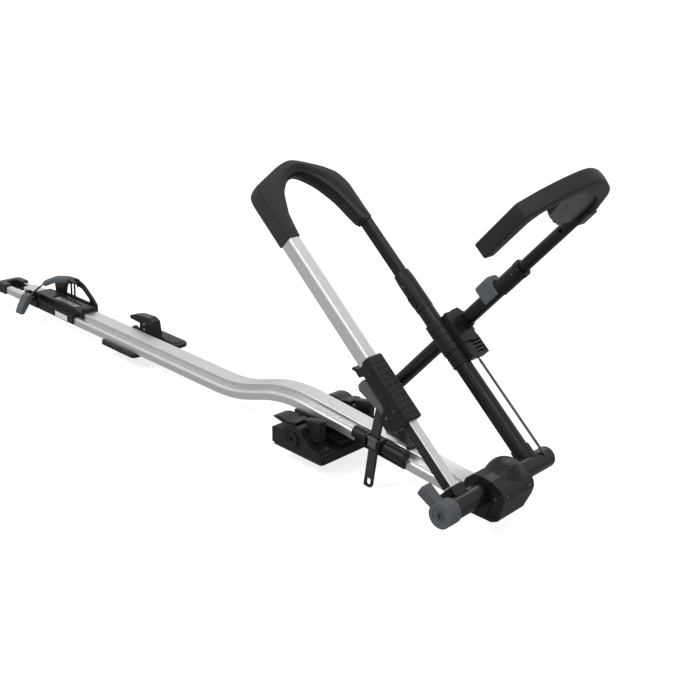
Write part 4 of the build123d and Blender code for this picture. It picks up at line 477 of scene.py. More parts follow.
# Finishes of noise alone: the colour, its two shades and their noise, the two limits of the roughness and
# their noise, the relief's noises with their distances in metres, the edges' rounding (None is the
# panel's), the specular level and the metallic share. A noise is its scale, detail and roughness
PLAIN_FINISHES = {
    # A shallow orange-peel skin with a soft gloss
    "powder_black": ("powder", (0.85, 1.18), (25.0,), (0.24, 0.31), (25.0,), (((900.0, 2.0), 0.00002),),
                     0.0006, 0.27, 0.0),
    # A fine spark-eroded grain, faint flow clouds, and handling scuffs in the gloss
    "moulded_black": ("moulded", (0.82, 1.25), (30.0, 4.0), (0.30, 0.42), ((60.0, 240.0, 60.0), 5.0, 0.7),
                      (((420.0, 2.0), 0.00005), ((1500.0, 2.0, 0.7), 0.00007)), None, 0.22, 0.0),
    # Grips with a fine grain, slightly paler where they are worn
    "slate_grip": ("slate", (0.93, 1.07), (40.0, 4.0), (0.46, 0.56), (40.0, 4.0),
                   (((1300.0, 2.0, 0.7), 0.00007),), None, 0.30, 0.0),
    # A smooth satin skin with faint rub marks across the strap
    "ladder_strap": ("strap", (0.85, 1.2), ((200.0, 30.0, 200.0), 4.0, 0.65), (0.34, 0.48),
                     ((200.0, 30.0, 200.0), 4.0, 0.65), (((1100.0, 2.0), 0.00004),), 0.0, 0.35, 0.0),
    # The strap's plastic, painted paler on the rungs: a painted highlight that makes each rung stand out
    "strap_rung": ("strap", (5.0, 7.5), ((300.0, 60.0, 300.0), 4.0, 0.65), (0.34, 0.48),
                   ((300.0, 60.0, 300.0), 4.0, 0.65), (), 0.0, 0.35, 0.0),
    # The hook pad's moulded skin, smoother and darker than the hoop's
    "hook_skin": ("pad", (0.42, 0.59), (18.0, 4.0), (0.50, 0.62), (18.0, 4.0),
                  (((1000.0, 3.0, 0.7), 0.00009),), 0.0, 0.30, 0.0),
    # Smooth and a little glossy, with a fine rolled grain
    "liner_rubber": ("rubber", (0.8, 1.3), (900.0, 3.0, 0.7), (0.30, 0.42), (900.0, 3.0, 0.7),
                     (((900.0, 3.0, 0.7), 0.00005),), 0.0, 0.30, 0.0),
    # Matt, with a fine rolled grain
    "foot_rubber": ("rubber", (0.8, 1.3), (800.0, 3.0, 0.7), (0.62, 0.8), (800.0, 3.0, 0.7),
                    (((800.0, 3.0, 0.7), 0.0001),), 0.0, 0.5, 0.0),
    # Blackened steel, paler where it is worn
    "dark_steel": ("steel", (0.08, 0.22), (500.0, 4.0, 0.65), (0.30, 0.42), (500.0, 4.0, 0.65),
                   (), 0.0, 0.5, 0.7),
    # Plated steel with fine turning marks
    "turned_steel": ("steel", (0.9, 1.08), ((1500.0, 60.0, 1500.0),), (0.22, 0.36), ((1500.0, 60.0, 1500.0),),
                     ((((1500.0, 60.0, 1500.0),), 0.00001),), 0.0, 0.5, 1.0),
    # Smooth plastic with a faint ripple
    "bare_plate": ("plate", (0.96, 1.03), (120.0,), (0.35, 0.45), (120.0,), (), 0.0, 0.5, 0.0),
    # Twisted thread with a dull sheen
    "sewing_thread": ("pad", (0.5, 0.8), ((900.0, 900.0, 900.0), 2.0), (0.55, 0.7),
                      ((900.0, 900.0, 900.0), 2.0), (), 0.0, 0.5, 0.0),
}


def plain_finish(name):
    """A finish from its row. A noise that the row names twice is made once."""
    colour, shades, shade_noise, rough, rough_noise, layers, edge, specular, metallic = PLAIN_FINISHES[name]
    material, tree, shader = new_finish(name)
    noises = {shade_noise, rough_noise, *dict(layers)}
    value = {layer: noise(tree, *layer) for layer in sorted(noises, key=str)}
    shade_ = tint(tree, value[shade_noise], getattr(colours(), colour), *shades)
    feed(tree, shade_, shader.inputs["Base Color"])
    feed(tree, spread(tree, value[rough_noise], *rough), shader.inputs["Roughness"])
    if layers:
        edge = sizes().edge_round if edge is None else edge
        feed(tree, relief(tree, [(value[layer], distance) for layer, distance in layers], edge),
             shader.inputs["Normal"])
    shader.inputs["Specular IOR Level"].default_value = specular
    shader.inputs["Metallic"].default_value = metallic
    return material


def drawn_aluminium(name="drawn_aluminium", turn=0.0):
    """Drawn aluminium: fine die lines along the drawing direction, faint clouding, satin gloss."""
    material, tree, shader = new_finish(name)
    lines = noise(tree, (1.2, 900.0, 900.0), 4.0, 0.6, turn)
    broad = noise(tree, (2.0, 140.0, 140.0), 2.0, turn=turn)
    cloud = noise(tree, 14.0)
    feed(tree, tint(tree, broad, colours().aluminium, 0.955, 1.02), shader.inputs["Base Color"])
    mixed = node(tree, "ShaderNodeMath", operation="ADD")
    feed(tree, spread(tree, lines, 0.0, 0.07), mixed.inputs[0])
    feed(tree, spread(tree, cloud, 0.27, 0.35), mixed.inputs[1])
    feed(tree, mixed.outputs["Value"], shader.inputs["Roughness"])
    feed(tree, relief(tree, [(lines, 0.000012), (broad, 0.00002)], 0.0005), shader.inputs["Normal"])
    shader.inputs["Metallic"].default_value = 0.82
    return material


def leg_aluminium():
    """The near leg's aluminium, drawn along the leg."""
    return drawn_aluminium("leg_aluminium", -LEG)


def pad_skin():
    """Foam pad's skin: a close knit of small cells, soft sheen, and faint pressed clouds."""
    material, tree, shader = new_finish("pad_skin")
    cells = node(tree, "ShaderNodeTexVoronoi", feature="F1")
    cells.inputs["Scale"].default_value = 950.0
    feed(tree, node(tree, "ShaderNodeTexCoord").outputs["Object"], cells.inputs["Vector"])
    fibre = noise(tree, 1800.0, 2.0, 0.7)
    cloud = noise(tree, 22.0, 4.0)
    feed(tree, tint(tree, cloud, colours().pad, 0.86, 1.14), shader.inputs["Base Color"])
    feed(tree, spread(tree, cloud, 0.66, 0.78), shader.inputs["Roughness"])
    feed(tree, relief(tree, [(cloud, 0.0004), (cells.outputs["Distance"], 0.00012), (fibre, 0.00005)]),
         shader.inputs["Normal"])
    for key, level in (("Sheen Weight", 0.10), ("Sheen Roughness", 0.45), ("Specular IOR Level", 0.25)):
        shader.inputs[key].default_value = level
    return material


def rack_black():
    """The rack's plastic, with a painted highlight on each tooth: the crest of each tooth is painted paler.
    The paleness is the cosine of the distance along the leg, one wave a tooth, counted from the first tooth."""
    material, tree, shader = new_finish("rack_black")
    place = node(tree, "ShaderNodeTexCoord")
    along = node(tree, "ShaderNodeVectorMath", operation="DOT_PRODUCT")
    along.inputs[1].default_value = tuple(ALONG)
    feed(tree, place.outputs["Object"], along.inputs[0])
    run = maths(tree, "SUBTRACT", along.outputs["Value"], (TUBE_AXIS @ ALONG + RACK_FIRST) * MM)
    # Painted highlight: a cosine wave, one a tooth, paints each tooth's crest up to four times paler than the
    # moulded black
    crest = maths(tree, "COSINE", maths(tree, "MULTIPLY", run, 2 * pi / (RACK_PITCH * MM)), 0.0)
    feed(tree, tint(tree, crest, colours().moulded, 0.5, 4.2, -0.2, 0.9), shader.inputs["Base Color"])
    feed(tree, spread(tree, noise(tree, 300.0), 0.30, 0.44), shader.inputs["Roughness"])
    shader.inputs["Specular IOR Level"].default_value = 0.30
    return material


FINISH_MAKERS = {maker.__name__: maker for maker in (drawn_aluminium, leg_aluminium, pad_skin, rack_black)}
FINISHES = {}


def finish(name):
    """A finish by its name, made once."""
    if name not in FINISHES:
        FINISHES[name] = FINISH_MAKERS[name]() if name in FINISH_MAKERS else plain_finish(name)
    return FINISHES[name]


def dress(piece, finish_name, body, slot, *stands_for):
    """Gives a new piece its finish and its body, and hides the nodes that it stands for. The slot is not
    used.
    """
    piece.data.materials.clear()
    piece.data.materials.append(finish(finish_name))
    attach(piece, body)
    if stands_for:
        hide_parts(*stands_for)
    return piece


# Surfaces of the pads

def pad_rings(outer, inner, ring, shares, half_depth, radius, inset, swell, place):
    """Rings of a pad between an outer and an inner line. Ring i lies across the two lines at its share of
    their length: its width is their distance, its depth is given, its edges have the radius, it is drawn
    in by its inset, and the swell is added along each point's direction."""
    a, b = read_line(outer, shares), read_line(inner, shares)
    middle, reach = (a + b) / 2, a - b
    half = np.linalg.norm(reach, axis=1) / 2
    way = reach / (2 * half)[:, None]
    cores, ways = ring
    turn = np.maximum(np.minimum(radius, np.minimum(half, half_depth) * 0.9) - inset, 0.3)
    wide = (half - inset - turn)[:, None] * cores[None, :, 0] + (turn[:, None] + swell) * ways[None, :, 0]
    deep = ((half_depth - inset - turn)[:, None] * cores[None, :, 1]
            + (turn[:, None] + swell) * ways[None, :, 1])
    flat = middle[:, None, :] + wide[:, :, None] * way[:, None, :]
    return place(flat[..., 0], flat[..., 1], deep)


def hoop_lines():
    """The hoop pad's eased outer and inner lines."""
    return eased(HOOP_OUTER, 17.0), eased(HOOP_INNER, 24.0)


class CARRIER_OT_hoop_cover(Operator):
    """Sewn cover of the hoop's pad, with its corner seam and hems"""

    bl_idname = "carrier.hoop_cover"
    bl_label = "Hoop cover"

    def execute(self, context):
        own = sizes()
        outer, inner = hoop_lines()
        hem = own.hem_place / MM / COVER_LENGTH
        steps = np.linspace(0.006, 0.994, own.path_steps)
        near = np.array((0.0, 0.0, 0.0, 0.0008, 0.0024, 0.0045, hem - 0.003, hem - 0.0012, hem,
                         hem + 0.0012, hem + 0.003))
        tight = np.array((9.0, 2.0, 1.4, 0.6, 0.15, 0.0, 0.0, 0.25, own.seam_depth / MM, 0.25, 0.0))
        middle = steps[(steps > hem + 0.004) & (steps < 1 - hem - 0.004)]
        shares = np.r_[near, middle, 1 - near[::-1]]
        inset = np.r_[tight, np.zeros(len(middle)), tight[::-1]]
        cores, ways = rounded_ring(34, 11)
        crown = own.pad_crown / MM
        flank = np.abs(ways[:, 1]) > 0.99
        swell = np.zeros((len(shares), len(cores)))
        full = rise(shares, 0.0, 0.05) * rise(1 - shares, 0.0, 0.05)
        swell += full[:, None] * crown * flank[None, :] * (1 - cores[None, :, 0] ** 2)
        swell += full[:, None] * crown * 0.8 * (ways[None, :, 0] > 0.99) * (1 - cores[None, :, 1] ** 2)
        # The inner side is hollowed for the liner
        hollow = rise(1.02 - np.abs(cores[:, 1]), 0.0, 0.12) * (ways[:, 0] < -0.99)
        swell -= (rise(shares, 0.015, 0.04) * rise(1 - shares, 0.015, 0.04))[:, None] * 5.4 * hollow[None, :]
        # The front face falls away to the inner side, with a crease along the fall's top
        width = np.linalg.norm(read_line(outer, shares) - read_line(inner, shares), axis=1)
        reach = (cores[None, :, 0] + 1) / 2 * width[:, None]
        edge = (8.0 + 6.5 * rise(shares, 0.45, 0.70))[:, None]
        fall = 0.36 * np.clip(edge - reach, 0.0, None) + 1.2 * bump(reach, edge, 2.4)
        fade = rise(shares, 0.10, 0.18) * rise(1 - shares, 0.015, 0.05)
        swell -= fade[:, None] * fall * np.clip(ways[None, :, 1], 0.0, 1.0)
        # The corner seam runs up the near leg's front edge and fades round the bend
        angle = np.arctan2(ways[:, 1], ways[:, 0])
        corner = (cores[:, 0] > 0.99) & (cores[:, 1] > 0.99)
        seam = bump(angle, radians(45), radians(19)) * corner
        swell -= (1 - rise(shares, 0.24, 0.40))[:, None] * own.seam_depth / MM * 2.2 * seam[None, :]
        seam_back = bump(angle, radians(-45), radians(19)) * (cores[:, 0] > 0.99) * (cores[:, 1] < -0.99)
        swell -= (1 - rise(shares, 0.24, 0.40))[:, None] * own.seam_depth / MM * 1.6 * seam_back[None, :]
        depth = own.pad_depth / MM / 2 - 2.0 * rise(shares, 0.82, 0.98)
        corner_size = own.pad_corner / MM * (1 - 0.30 * (1 - rise(shares, 0.2, 0.35)))
        rings = pad_rings(outer, inner, (cores, ways), shares, depth, corner_size, inset, swell, on_legs)
        made = add_mesh("hoop_cover_skin", *closed_rings(rings), sharp=0)
        dress(made, "pad_skin", "hoop_head", "pad_rubber", "hoop_cover")
        # Hem stitches: short bars round each mouth, one row on each side of the hem
        for end, share in (("near", hem), ("far", 1 - hem)):
            half = depth[0 if end == "near" else -1]
            ring = pad_rings(outer, inner, (cores, ways), np.array((share,)), np.array((half,)),
                             np.array((own.pad_corner / MM,)), np.array((own.seam_depth / MM * 0.55,)),
                             np.zeros((1, len(cores))), on_legs)[0]
            loop, length = even_line(np.vstack([ring, ring[:1]]), 2401)
            count = int(length / own.stitch_pitch)
            at = (np.arange(count) * (len(loop) - 1) / count).astype(int)
            tangent = unit(loop[(at + 3) % (len(loop) - 1)] - loop[at])
            out = loop[at] - loop.mean(0)
            out -= np.einsum("ij,ij->i", out, tangent)[:, None] * tangent
            out = unit(out)
            axes = np.stack([tangent, np.cross(out, tangent), out], 1)
            shape = bar_shape(own.stitch_pitch * 0.62, 0.0007, 0.00035, 0.8)
            points, faces = repeated(shape, BAR_FACES, loop[at], axes)
            dress(add_mesh(f"hoop_hem_{end}", points, faces), "sewing_thread", "hoop_head", "pad_rubber")
        return {"FINISHED"}


class CARRIER_OT_hoop_liner(Operator):
    """Ribbed liner in the hoop's inner side, with its cross seams"""

    bl_idname = "carrier.hoop_liner"
    bl_label = "Hoop liner"

    def execute(self, context):
        outer, inner = hoop_lines()
        away = unit(outer - inner)
        shares = np.linspace(0.015, 0.985, 321)
        cores, ways = rounded_ring(26, 7)
        run = shares * LINER_LENGTH
        swell = np.zeros((len(shares), len(cores)))
        face = ways[:, 0] < -0.99
        # A full bead with a raised middle band, cut by cross seams every 52 mm
        full = 2.2 * (1 - cores[:, 1] ** 2) * face
        band = 0.9 * rise(0.52 - np.abs(cores[:, 1]), 0.0, 0.14) * face
        seams = np.clip(1 - np.abs((run % 52.0) - 26.0) / 1.5, 0, 1)
        swell += full[None, :] + band[None, :] * (1 - seams[:, None]) - 0.8 * seams[:, None] * face[None, :]
        # The far half is deeper and reaches further under the cover
        fuller = rise(np.linspace(0.0, 1.0, len(inner)), 0.45, 0.68)[:, None]
        deep = 9.4 + 3.8 * rise(shares, 0.45, 0.68)
        rings = pad_rings(inner + away * (5.6 + 5.0 * fuller), inner - away * (0.6 + 1.4 * fuller),
                          (cores, ways), shares, deep, 3.2, 0.0, swell, on_legs)
        made = add_mesh("hoop_liner_ribbed", *closed_rings(rings), sharp=50)
        dress(made, "liner_rubber", "hoop_head", "liner_rubber", "hoop_liner")
        return {"FINISHED"}


def hook_place(across, height, depth):
    """Hook coordinates into the frame."""
    return on_legs(HOOK_PLACE + depth, across, height)


class CARRIER_OT_hook_pad(Operator):
    """Moulded pad round the hook, with crisp long edges and a rounded tip"""

    bl_idname = "carrier.hook_pad"
    bl_label = "Hook pad"

    def execute(self, context):
        own = sizes()
        tight_out, loose_out = eased(HOOK_OUTER, 4.0), eased(HOOK_OUTER, 34.0)
        tight_in, loose_in = eased(HOOK_INNER, 8.0), eased(HOOK_INNER, 26.0)
        grid = np.linspace(0.0, 1.0, len(tight_out))[:, None]
        ease = 1 - rise(grid, 0.52, 0.66)
        outer = tight_out * (1 - ease) + loose_out * ease
        inner = tight_in * (1 - ease) + loose_in * ease
        # Each end is rounded by a quarter circle: as the rings leave the end they widen by its sine
        turn, tip = np.linspace(0.0, pi / 2, 7), 3.2
        near, tight = tip * (1 - np.cos(turn)) / HOOK_LENGTH, tip * (1 - np.sin(turn))
        middle = np.linspace(0.012, 0.988, own.path_steps)
        shares = np.r_[near, middle, 1 - near[::-1]]
        inset = np.r_[tight, np.zeros(len(middle)), tight[::-1]]
        cores, ways = rounded_ring(14, 7)
        swell = 0.7 * (np.abs(ways[:, 1]) > 0.99) * (1 - cores[:, 0] ** 2)
        swell = swell + 0.5 * (ways[:, 0] > 0.99) * (1 - cores[:, 1] ** 2)
        full = rise(shares, 0.0, 0.03) * rise(1 - shares, 0.0, 0.03)
        swell = full[:, None] * swell[None, :]
        radius = own.hook_corner / MM * (1 + 1.2 * (1 - rise(shares, 0.30, 0.55)))
        rings = pad_rings(outer, inner, (cores, ways), shares, own.hook_width / MM / 2, radius, inset, swell,
                          hook_place)
        made = add_mesh("hook_pad_skin", *closed_rings(rings), sharp=0)
        dress(made, "hook_skin", "hook", "pad_rubber", "hook_pad")
        return {"FINISHED"}


class CARRIER_OT_hook_web(Operator):
    """Raised tongue on each face of the hook's web"""

    bl_idname = "carrier.hook_web"
    bl_label = "Hook web"

    def execute(self, context):
        outline = eased(np.vstack([HOOK_WEB, HOOK_WEB[:1]]), 9.0)[:-1:12]
        centre = outline.mean(0)
        share = np.linspace(1.0, 0.02, 22)
        # Height over the web's face: a flat-topped dome with a long crest that falls towards the mouth
        for side, name in ((1, "front"), (-1, "back")):
            grid = centre + share[:, None, None] * (outline - centre)[None]
            lift = WEB_FACE + 3.2 * (1 - share ** 2.2)[:, None] * np.ones(len(outline))
            # The crest runs from the bar to the mouth, and the slope below it falls away
            lift -= 2.6 * rise(-grid[..., 1] + 0.20 * grid[..., 0], -392.0, -358.0) * (1 - share)[:, None]
            slope = 0.45 + 0.55 * rise(grid[..., 0], 0.0, 90.0)
            lift = WEB_FACE + np.maximum(lift - WEB_FACE, 0.0) * slope
            top = hook_place(grid[..., 0], grid[..., 1], side * lift)
            floor = hook_place(grid[:1, :, 0], grid[:1, :, 1], np.full((1, len(outline)), side * 3.0))
            points, faces = closed_rings(np.concatenate([floor, top]))
            made = add_mesh(f"hook_web_tongue_{name}", points, faces, sharp=35)
            dress(made, "moulded_black", "hook", "black_plastic")
        return {"FINISHED"}


def rung_row(name, line, place, width, body, first, last):
    """Rungs of a ladder strap: low bars at equal steps of the strap's line, standing on its outer face."""
    own = sizes()
    path, length = even_line(line, 1601)
    count = int((last - first) / (own.rung_pitch / MM))
    at = ((first + np.arange(count) * own.rung_pitch / MM) / length * (len(path) - 1)).astype(int)
    at = at[(at > 1) & (at < len(path) - 3)]
    step = unit(path[at + 2] - path[at - 2])
    out = np.stack([-step[:, 1], step[:, 0]], 1)
    spot = path[at] + out * 1.5
    zero = np.zeros(len(at))
    base = place(spot[:, 0], spot[:, 1], zero)
    tangent = place(spot[:, 0] + step[:, 0], spot[:, 1] + step[:, 1], zero) - base
    outward = place(spot[:, 0] + out[:, 0], spot[:, 1] + out[:, 1], zero) - base
    across = place(spot[:, 0], spot[:, 1], zero + 1.0) - base
    axes = np.stack([tangent, across, outward], 1) / MM
    shape = bar_shape(own.rung_pitch * 0.45, width * MM, own.rung_height, 0.66)
    points, faces = repeated(shape, BAR_FACES, base, axes)
    # The rungs take a finish painted paler than the strap, a painted highlight
    dress(add_mesh(name, points, faces, sharp=25), "strap_rung", body, "strap_plastic")


def front_strap_place(across, height, side):
    """Front strap coordinates into the frame."""
    return on_front(FRONT_STRAP_PLACE + side, across, height)


class CARRIER_OT_strap_rungs(Operator):
    """Rungs of the two ladder straps"""

    bl_idname = "carrier.strap_rungs"
    bl_label = "Strap rungs"

    def execute(self, context):
        rear = eased(REAR_STRAP, 6.0)
        front = eased(FRONT_STRAP, 7.0)
        rung_row("front_strap_rungs", front, front_strap_place, 17.5, "carrier", 20.0, 290.0)
        rung_row("rear_strap_rungs", rear, on_strap, 16.5, "wheel_tray", 12.0, 44.0)
        rung_row("rear_strap_end_rungs", rear, on_strap, 16.5, "wheel_tray", 112.0, 132.0)
        return {"FINISHED"}


class CARRIER_OT_rim_pad(Operator):
    """Soft slate sleeve round the rear strap, where it lies on the rim"""

    bl_idname = "carrier.rim_pad"
    bl_label = "Rim pad"

    def execute(self, context):
        path = eased(REAR_STRAP, 12.0)
        part = path[(path[:, 0] > 50.0) & (path[:, 0] < 114.0)]
        step = unit(np.gradient(part, axis=0))
        out = np.stack([-step[:, 1], step[:, 0]], 1)
        near = np.array((0.0, 0.0, 0.006, 0.02, 0.045))
        tight = np.array((4.0, 2.6, 1.3, 0.5, 0.1))
        shares = np.r_[near, np.linspace(0.08, 0.92, 60), 1 - near[::-1]]
        inset = np.r_[tight, np.zeros(60), tight[::-1]]
        # Two finger grooves cross the pad's back
        groove = bump(shares, 0.34, 0.03) + bump(shares, 0.66, 0.03)
        cores, ways = rounded_ring(14, 7)
        face = 0.8 * (ways[:, 0] > 0.99) * (1 - cores[:, 1] ** 2)
        swell = face[None, :] - 0.8 * groove[:, None] * (ways[None, :, 0] > 0.5)
        rings = pad_rings(part + out * 4.2, part - out * 8.6, (cores, ways), shares, 12.4, 3.6, inset, swell,
                          on_strap)
        made = add_mesh("rim_pad_sleeve", *closed_rings(rings), sharp=0)
        dress(made, "slate_grip", "wheel_tray", "slate_plastic", "rim_pad")
        return {"FINISHED"}


class CARRIER_OT_ratchet_trim(Operator):
    """Raised lines on the ratchet housing's near cheek"""

    bl_idname = "carrier.ratchet_trim"
    bl_label = "Ratchet trim"

    def execute(self, context):
        for name, line, radius in (
                ("ratchet_parting_bead", [(276.0, 9.0), (166.0, 9.0)], 0.8),
                ("ratchet_cheek_ridge", [(272.0, 2.2), (216.0, 2.2), (197.0, -3.0), (190.0, -24.0)], 1.3)):
            path = read_line(eased(line, 5.0), np.linspace(0.0, 1.0, 40))
            step = unit(np.gradient(path, axis=0))
            side = np.stack([-step[:, 1], step[:, 0]], 1)
            spots = on_legs(path[:, 0], CHEEK, path[:, 1])
            ways = side[:, :1] * ALONG + side[:, 1:] * ABOVE
            made = bead(name, spots, ways, -ACROSS, radius * MM)
            dress(made, "moulded_black", "hoop_head", "black_plastic")
        return {"FINISHED"}


class CARRIER_OT_front_levers(Operator):
    """Curved clamp levers of the front foot, each an arch with a thin beak"""

    bl_idname = "carrier.front_levers"
    bl_label = "Front levers"

    def execute(self, context):
        arch = np.radians(np.linspace(82.0, 122.0, 15))[:, None]
        way = np.hstack([np.cos(arch), np.sin(arch)])
        outer = np.vstack([BOSS + way * 34.6, [(-38.0, 61.6), (-50.0, 62.2), (-61.0, 59.6), (-67.2, 56.6)]])
        inner = np.vstack([BOSS + way * 29.3, [(-36.5, 50.4), (-46.0, 51.4), (-57.0, 53.4), (-66.2, 55.0)]])
        shares = np.r_[0.0, 0.0, 0.008, 0.02, np.linspace(0.04, 0.96, 60), 0.98, 0.992, 1.0, 1.0]
        tight = np.array((2.0, 1.2, 0.4, 0.1))
        inset = np.r_[tight, np.zeros(60), tight[::-1]]
        cores, ways = rounded_ring(14, 6)
        # Two shallow grooves cross the lever's back
        groove = bump(shares, 0.52, 0.022) + bump(shares, 0.62, 0.022)
        swell = -0.8 * groove[:, None] * (ways[None, :, 0] > 0.5)
        for side, name in ((-1, "near"), (1, "far")):
            # Along, up, and across from the lever's middle
            place = placer(side * LEVER_MIDDLE * ACROSS, np.array((1.0, 0.0, 0.0)), UPWARD, ACROSS)
            rings = pad_rings(eased(outer, 4.0), eased(inner, 4.0), (cores, ways), shares, 17.9, 1.9, inset,
                              swell, place)
            made = add_mesh(f"front_lever_{name}_arch", *closed_rings(rings), sharp=45)
            dress(made, "moulded_black", f"{name}_clamp", "black_plastic", f"front_lever_{name}")
        return {"FINISHED"}


class CARRIER_OT_clamp_blocks(Operator):
    """Clamp blocks beside the rail, each in front of its lever's arch"""

    bl_idname = "carrier.clamp_blocks"
    bl_label = "Clamp blocks"

    def execute(self, context):
        arc = np.radians(np.linspace(8.0, 68.0, 13))[:, None]
        curve = BOSS + 36.5 * np.hstack([np.cos(arc), np.sin(arc)])
        outline = np.vstack([[(42.0, 31.0), (42.0, 74.0), (38.0, 76.0), (2.5, 68.5)], curve[::-1],
                             [(26.0, 31.0)]])
        outline = outline[::-1]
        middle = np.array((28.0, 52.0))
        for side, name in ((-1, "near"), (1, "far")):
            rings = []
            for share, depth in ((0.93, -9.0), (0.97, -8.5), (1.0, -7.2), (1.0, 7.2), (0.97, 8.5),
                                 (0.93, 9.0), (0.72, 9.0), (0.68, 8.2), (0.3, 8.2)):
                flat = middle + (outline - middle) * share
                across = np.full(len(flat), side * (BLOCK_MIDDLE + depth))
                rings.append(np.stack([flat[:, 0], across, flat[:, 1]], 1))
            rings = np.array(rings) * MM
            rings = rings if side < 0 else rings[:, ::-1]
            made = add_mesh(f"clamp_block_{name}", *closed_rings(rings), sharp=35)
            dress(made, "moulded_black", "carrier", "black_plastic")
        return {"FINISHED"}


class CARRIER_OT_foot_dials(Operator):
    """Raised rings of the front foot's dials"""

    bl_idname = "carrier.foot_dials"
    bl_label = "Foot dials"

    def execute(self, context):
        for side, name in ((-1, "near"), (1, "far")):
            for part, radius, tube, face in (("collar", 18.6, 1.7, 93.0), ("rim", 12.6, 1.1, 96.0),
                                             ("hub", 7.4, 0.9, 96.0)):
                made = torus(f"dial_{part}_{name}", (BOSS[0], side * face, BOSS[1]), radius, tube)
                dress(made, "moulded_black", "carrier", "black_plastic")
        return {"FINISHED"}


class CARRIER_OT_rear_shoe(Operator):
    """Low rounded shoe of the rear foot, on the rail's far side"""

    bl_idname = "carrier.rear_shoe"
    bl_label = "Rear shoe"

    def execute(self, context):
        corner, (low_x, high_x, low_y, high_y) = 16.0, SHOE
        turn = np.linspace(0.0, pi / 2, 12)
        ring = []
        corners = (high_x, high_y), (low_x, high_y), (low_x, low_y), (high_x, low_y)
        for quarter, (x, y) in enumerate(corners):
            way = np.sign((x - (low_x + high_x) / 2, y - (low_y + high_y) / 2))
            angle = turn + quarter * pi / 2
            arc = np.stack([np.cos(angle), np.sin(angle)], 1)
            ring.append(np.array((x, y)) - way * corner + corner * arc)
        ring = np.vstack(ring)
        middle = ring.mean(0)
        rings = [np.hstack([middle + (ring - middle) * share, np.full((len(ring), 1), height)])
                 for share, height in ((0.96, 0.4), (1.0, 2.0), (1.0, 8.0), (0.985, 9.4), (0.96, 10.0),
                                       (0.80, 10.4), (0.76, 12.2), (0.50, 12.8), (0.2, 13.0))]
        made = add_mesh("rear_foot_shoe", *closed_rings(np.array(rings) * MM), sharp=35)
        dress(made, "moulded_black", "rear_foot", "black_plastic")
        return {"FINISHED"}


class CARRIER_OT_head_dome(Operator):
    """Smooth dome that swells out of the head's top"""

    bl_idname = "carrier.head_dome"
    bl_label = "Head dome"

    def execute(self, context):
        turn = np.linspace(0.0, 2 * pi, 64, endpoint=False)
        reach = np.linspace(0.0, 1.0, 22)[1:, None] * DOME_RADIUS
        along = DOME_PLACE[0] + reach * np.cos(turn)
        # The dome keeps within the head's far side
        across = np.minimum(DOME_PLACE[1] + reach * np.sin(turn), DOME_SIDE)
        skin = np.interp(along, HEAD_TOP[:, 0], HEAD_TOP[:, 1])
        share = np.hypot(along - DOME_PLACE[0], across - DOME_PLACE[1]) / DOME_RADIUS
        height = skin + np.clip(1 - share ** 2.6, 0.0, 1.0) ** 1.2 * (DOME_HEIGHT - skin) - 0.6 * share ** 2
        top = np.stack([along, across, height], -1)[::-1] * MM
        floor = top[:1] - (0.0, 0.0, 3.0 * MM)
        made = add_mesh("head_dome", *closed_rings(np.concatenate([floor, top])), sharp=0)
        dress(made, "moulded_black", "carrier", "black_plastic")
        return {"FINISHED"}


class CARRIER_OT_lock_rod(Operator):
    """Sheathed rod from the cross tube up to the louvred housing"""

    bl_idname = "carrier.lock_rod"
    bl_label = "Lock rod"

    def execute(self, context):
        place = np.array((1.5, 2.0, 5.0, 7.0, 12.0, 60.0, 110.0, 160.0, 205.0, 208.0, 210.0, 221.5, 222.0))
        radius = np.array((1.2, 1.5, 1.5, 2.4, 2.5, 2.5, 2.5, 2.5, 2.5, 2.4, 1.5, 1.5, 1.2))
        turn = np.linspace(0.0, 2 * pi, 24, endpoint=False)
        rings = on_legs(place[:, None], ROD_PLACE[0] + radius[:, None] * np.cos(turn),
                        ROD_PLACE[1] + radius[:, None] * np.sin(turn))
        made = add_mesh("lock_rod_sheath", *closed_rings(rings), sharp=35)
        dress(made, "dark_steel", "hoop_base", "plain_steel", "lock_rod")
        return {"FINISHED"}


class CARRIER_OT_node_finishes(Operator):
    """Finishes and softened edges of the nodes that are shown as they are"""

    bl_idname = "carrier.node_finishes"
    bl_label = "Finishes"

    def execute(self, context):
        for name, nodes in NODE_FINISHES.items():
            for node_name in nodes:
                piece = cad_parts[node_name]
                made = finish(name)
                if not piece.data.materials:
                    piece.data.materials.append(made)
                for k in range(len(piece.material_slots)):
                    piece.material_slots[k].material = made
        return {"FINISHED"}


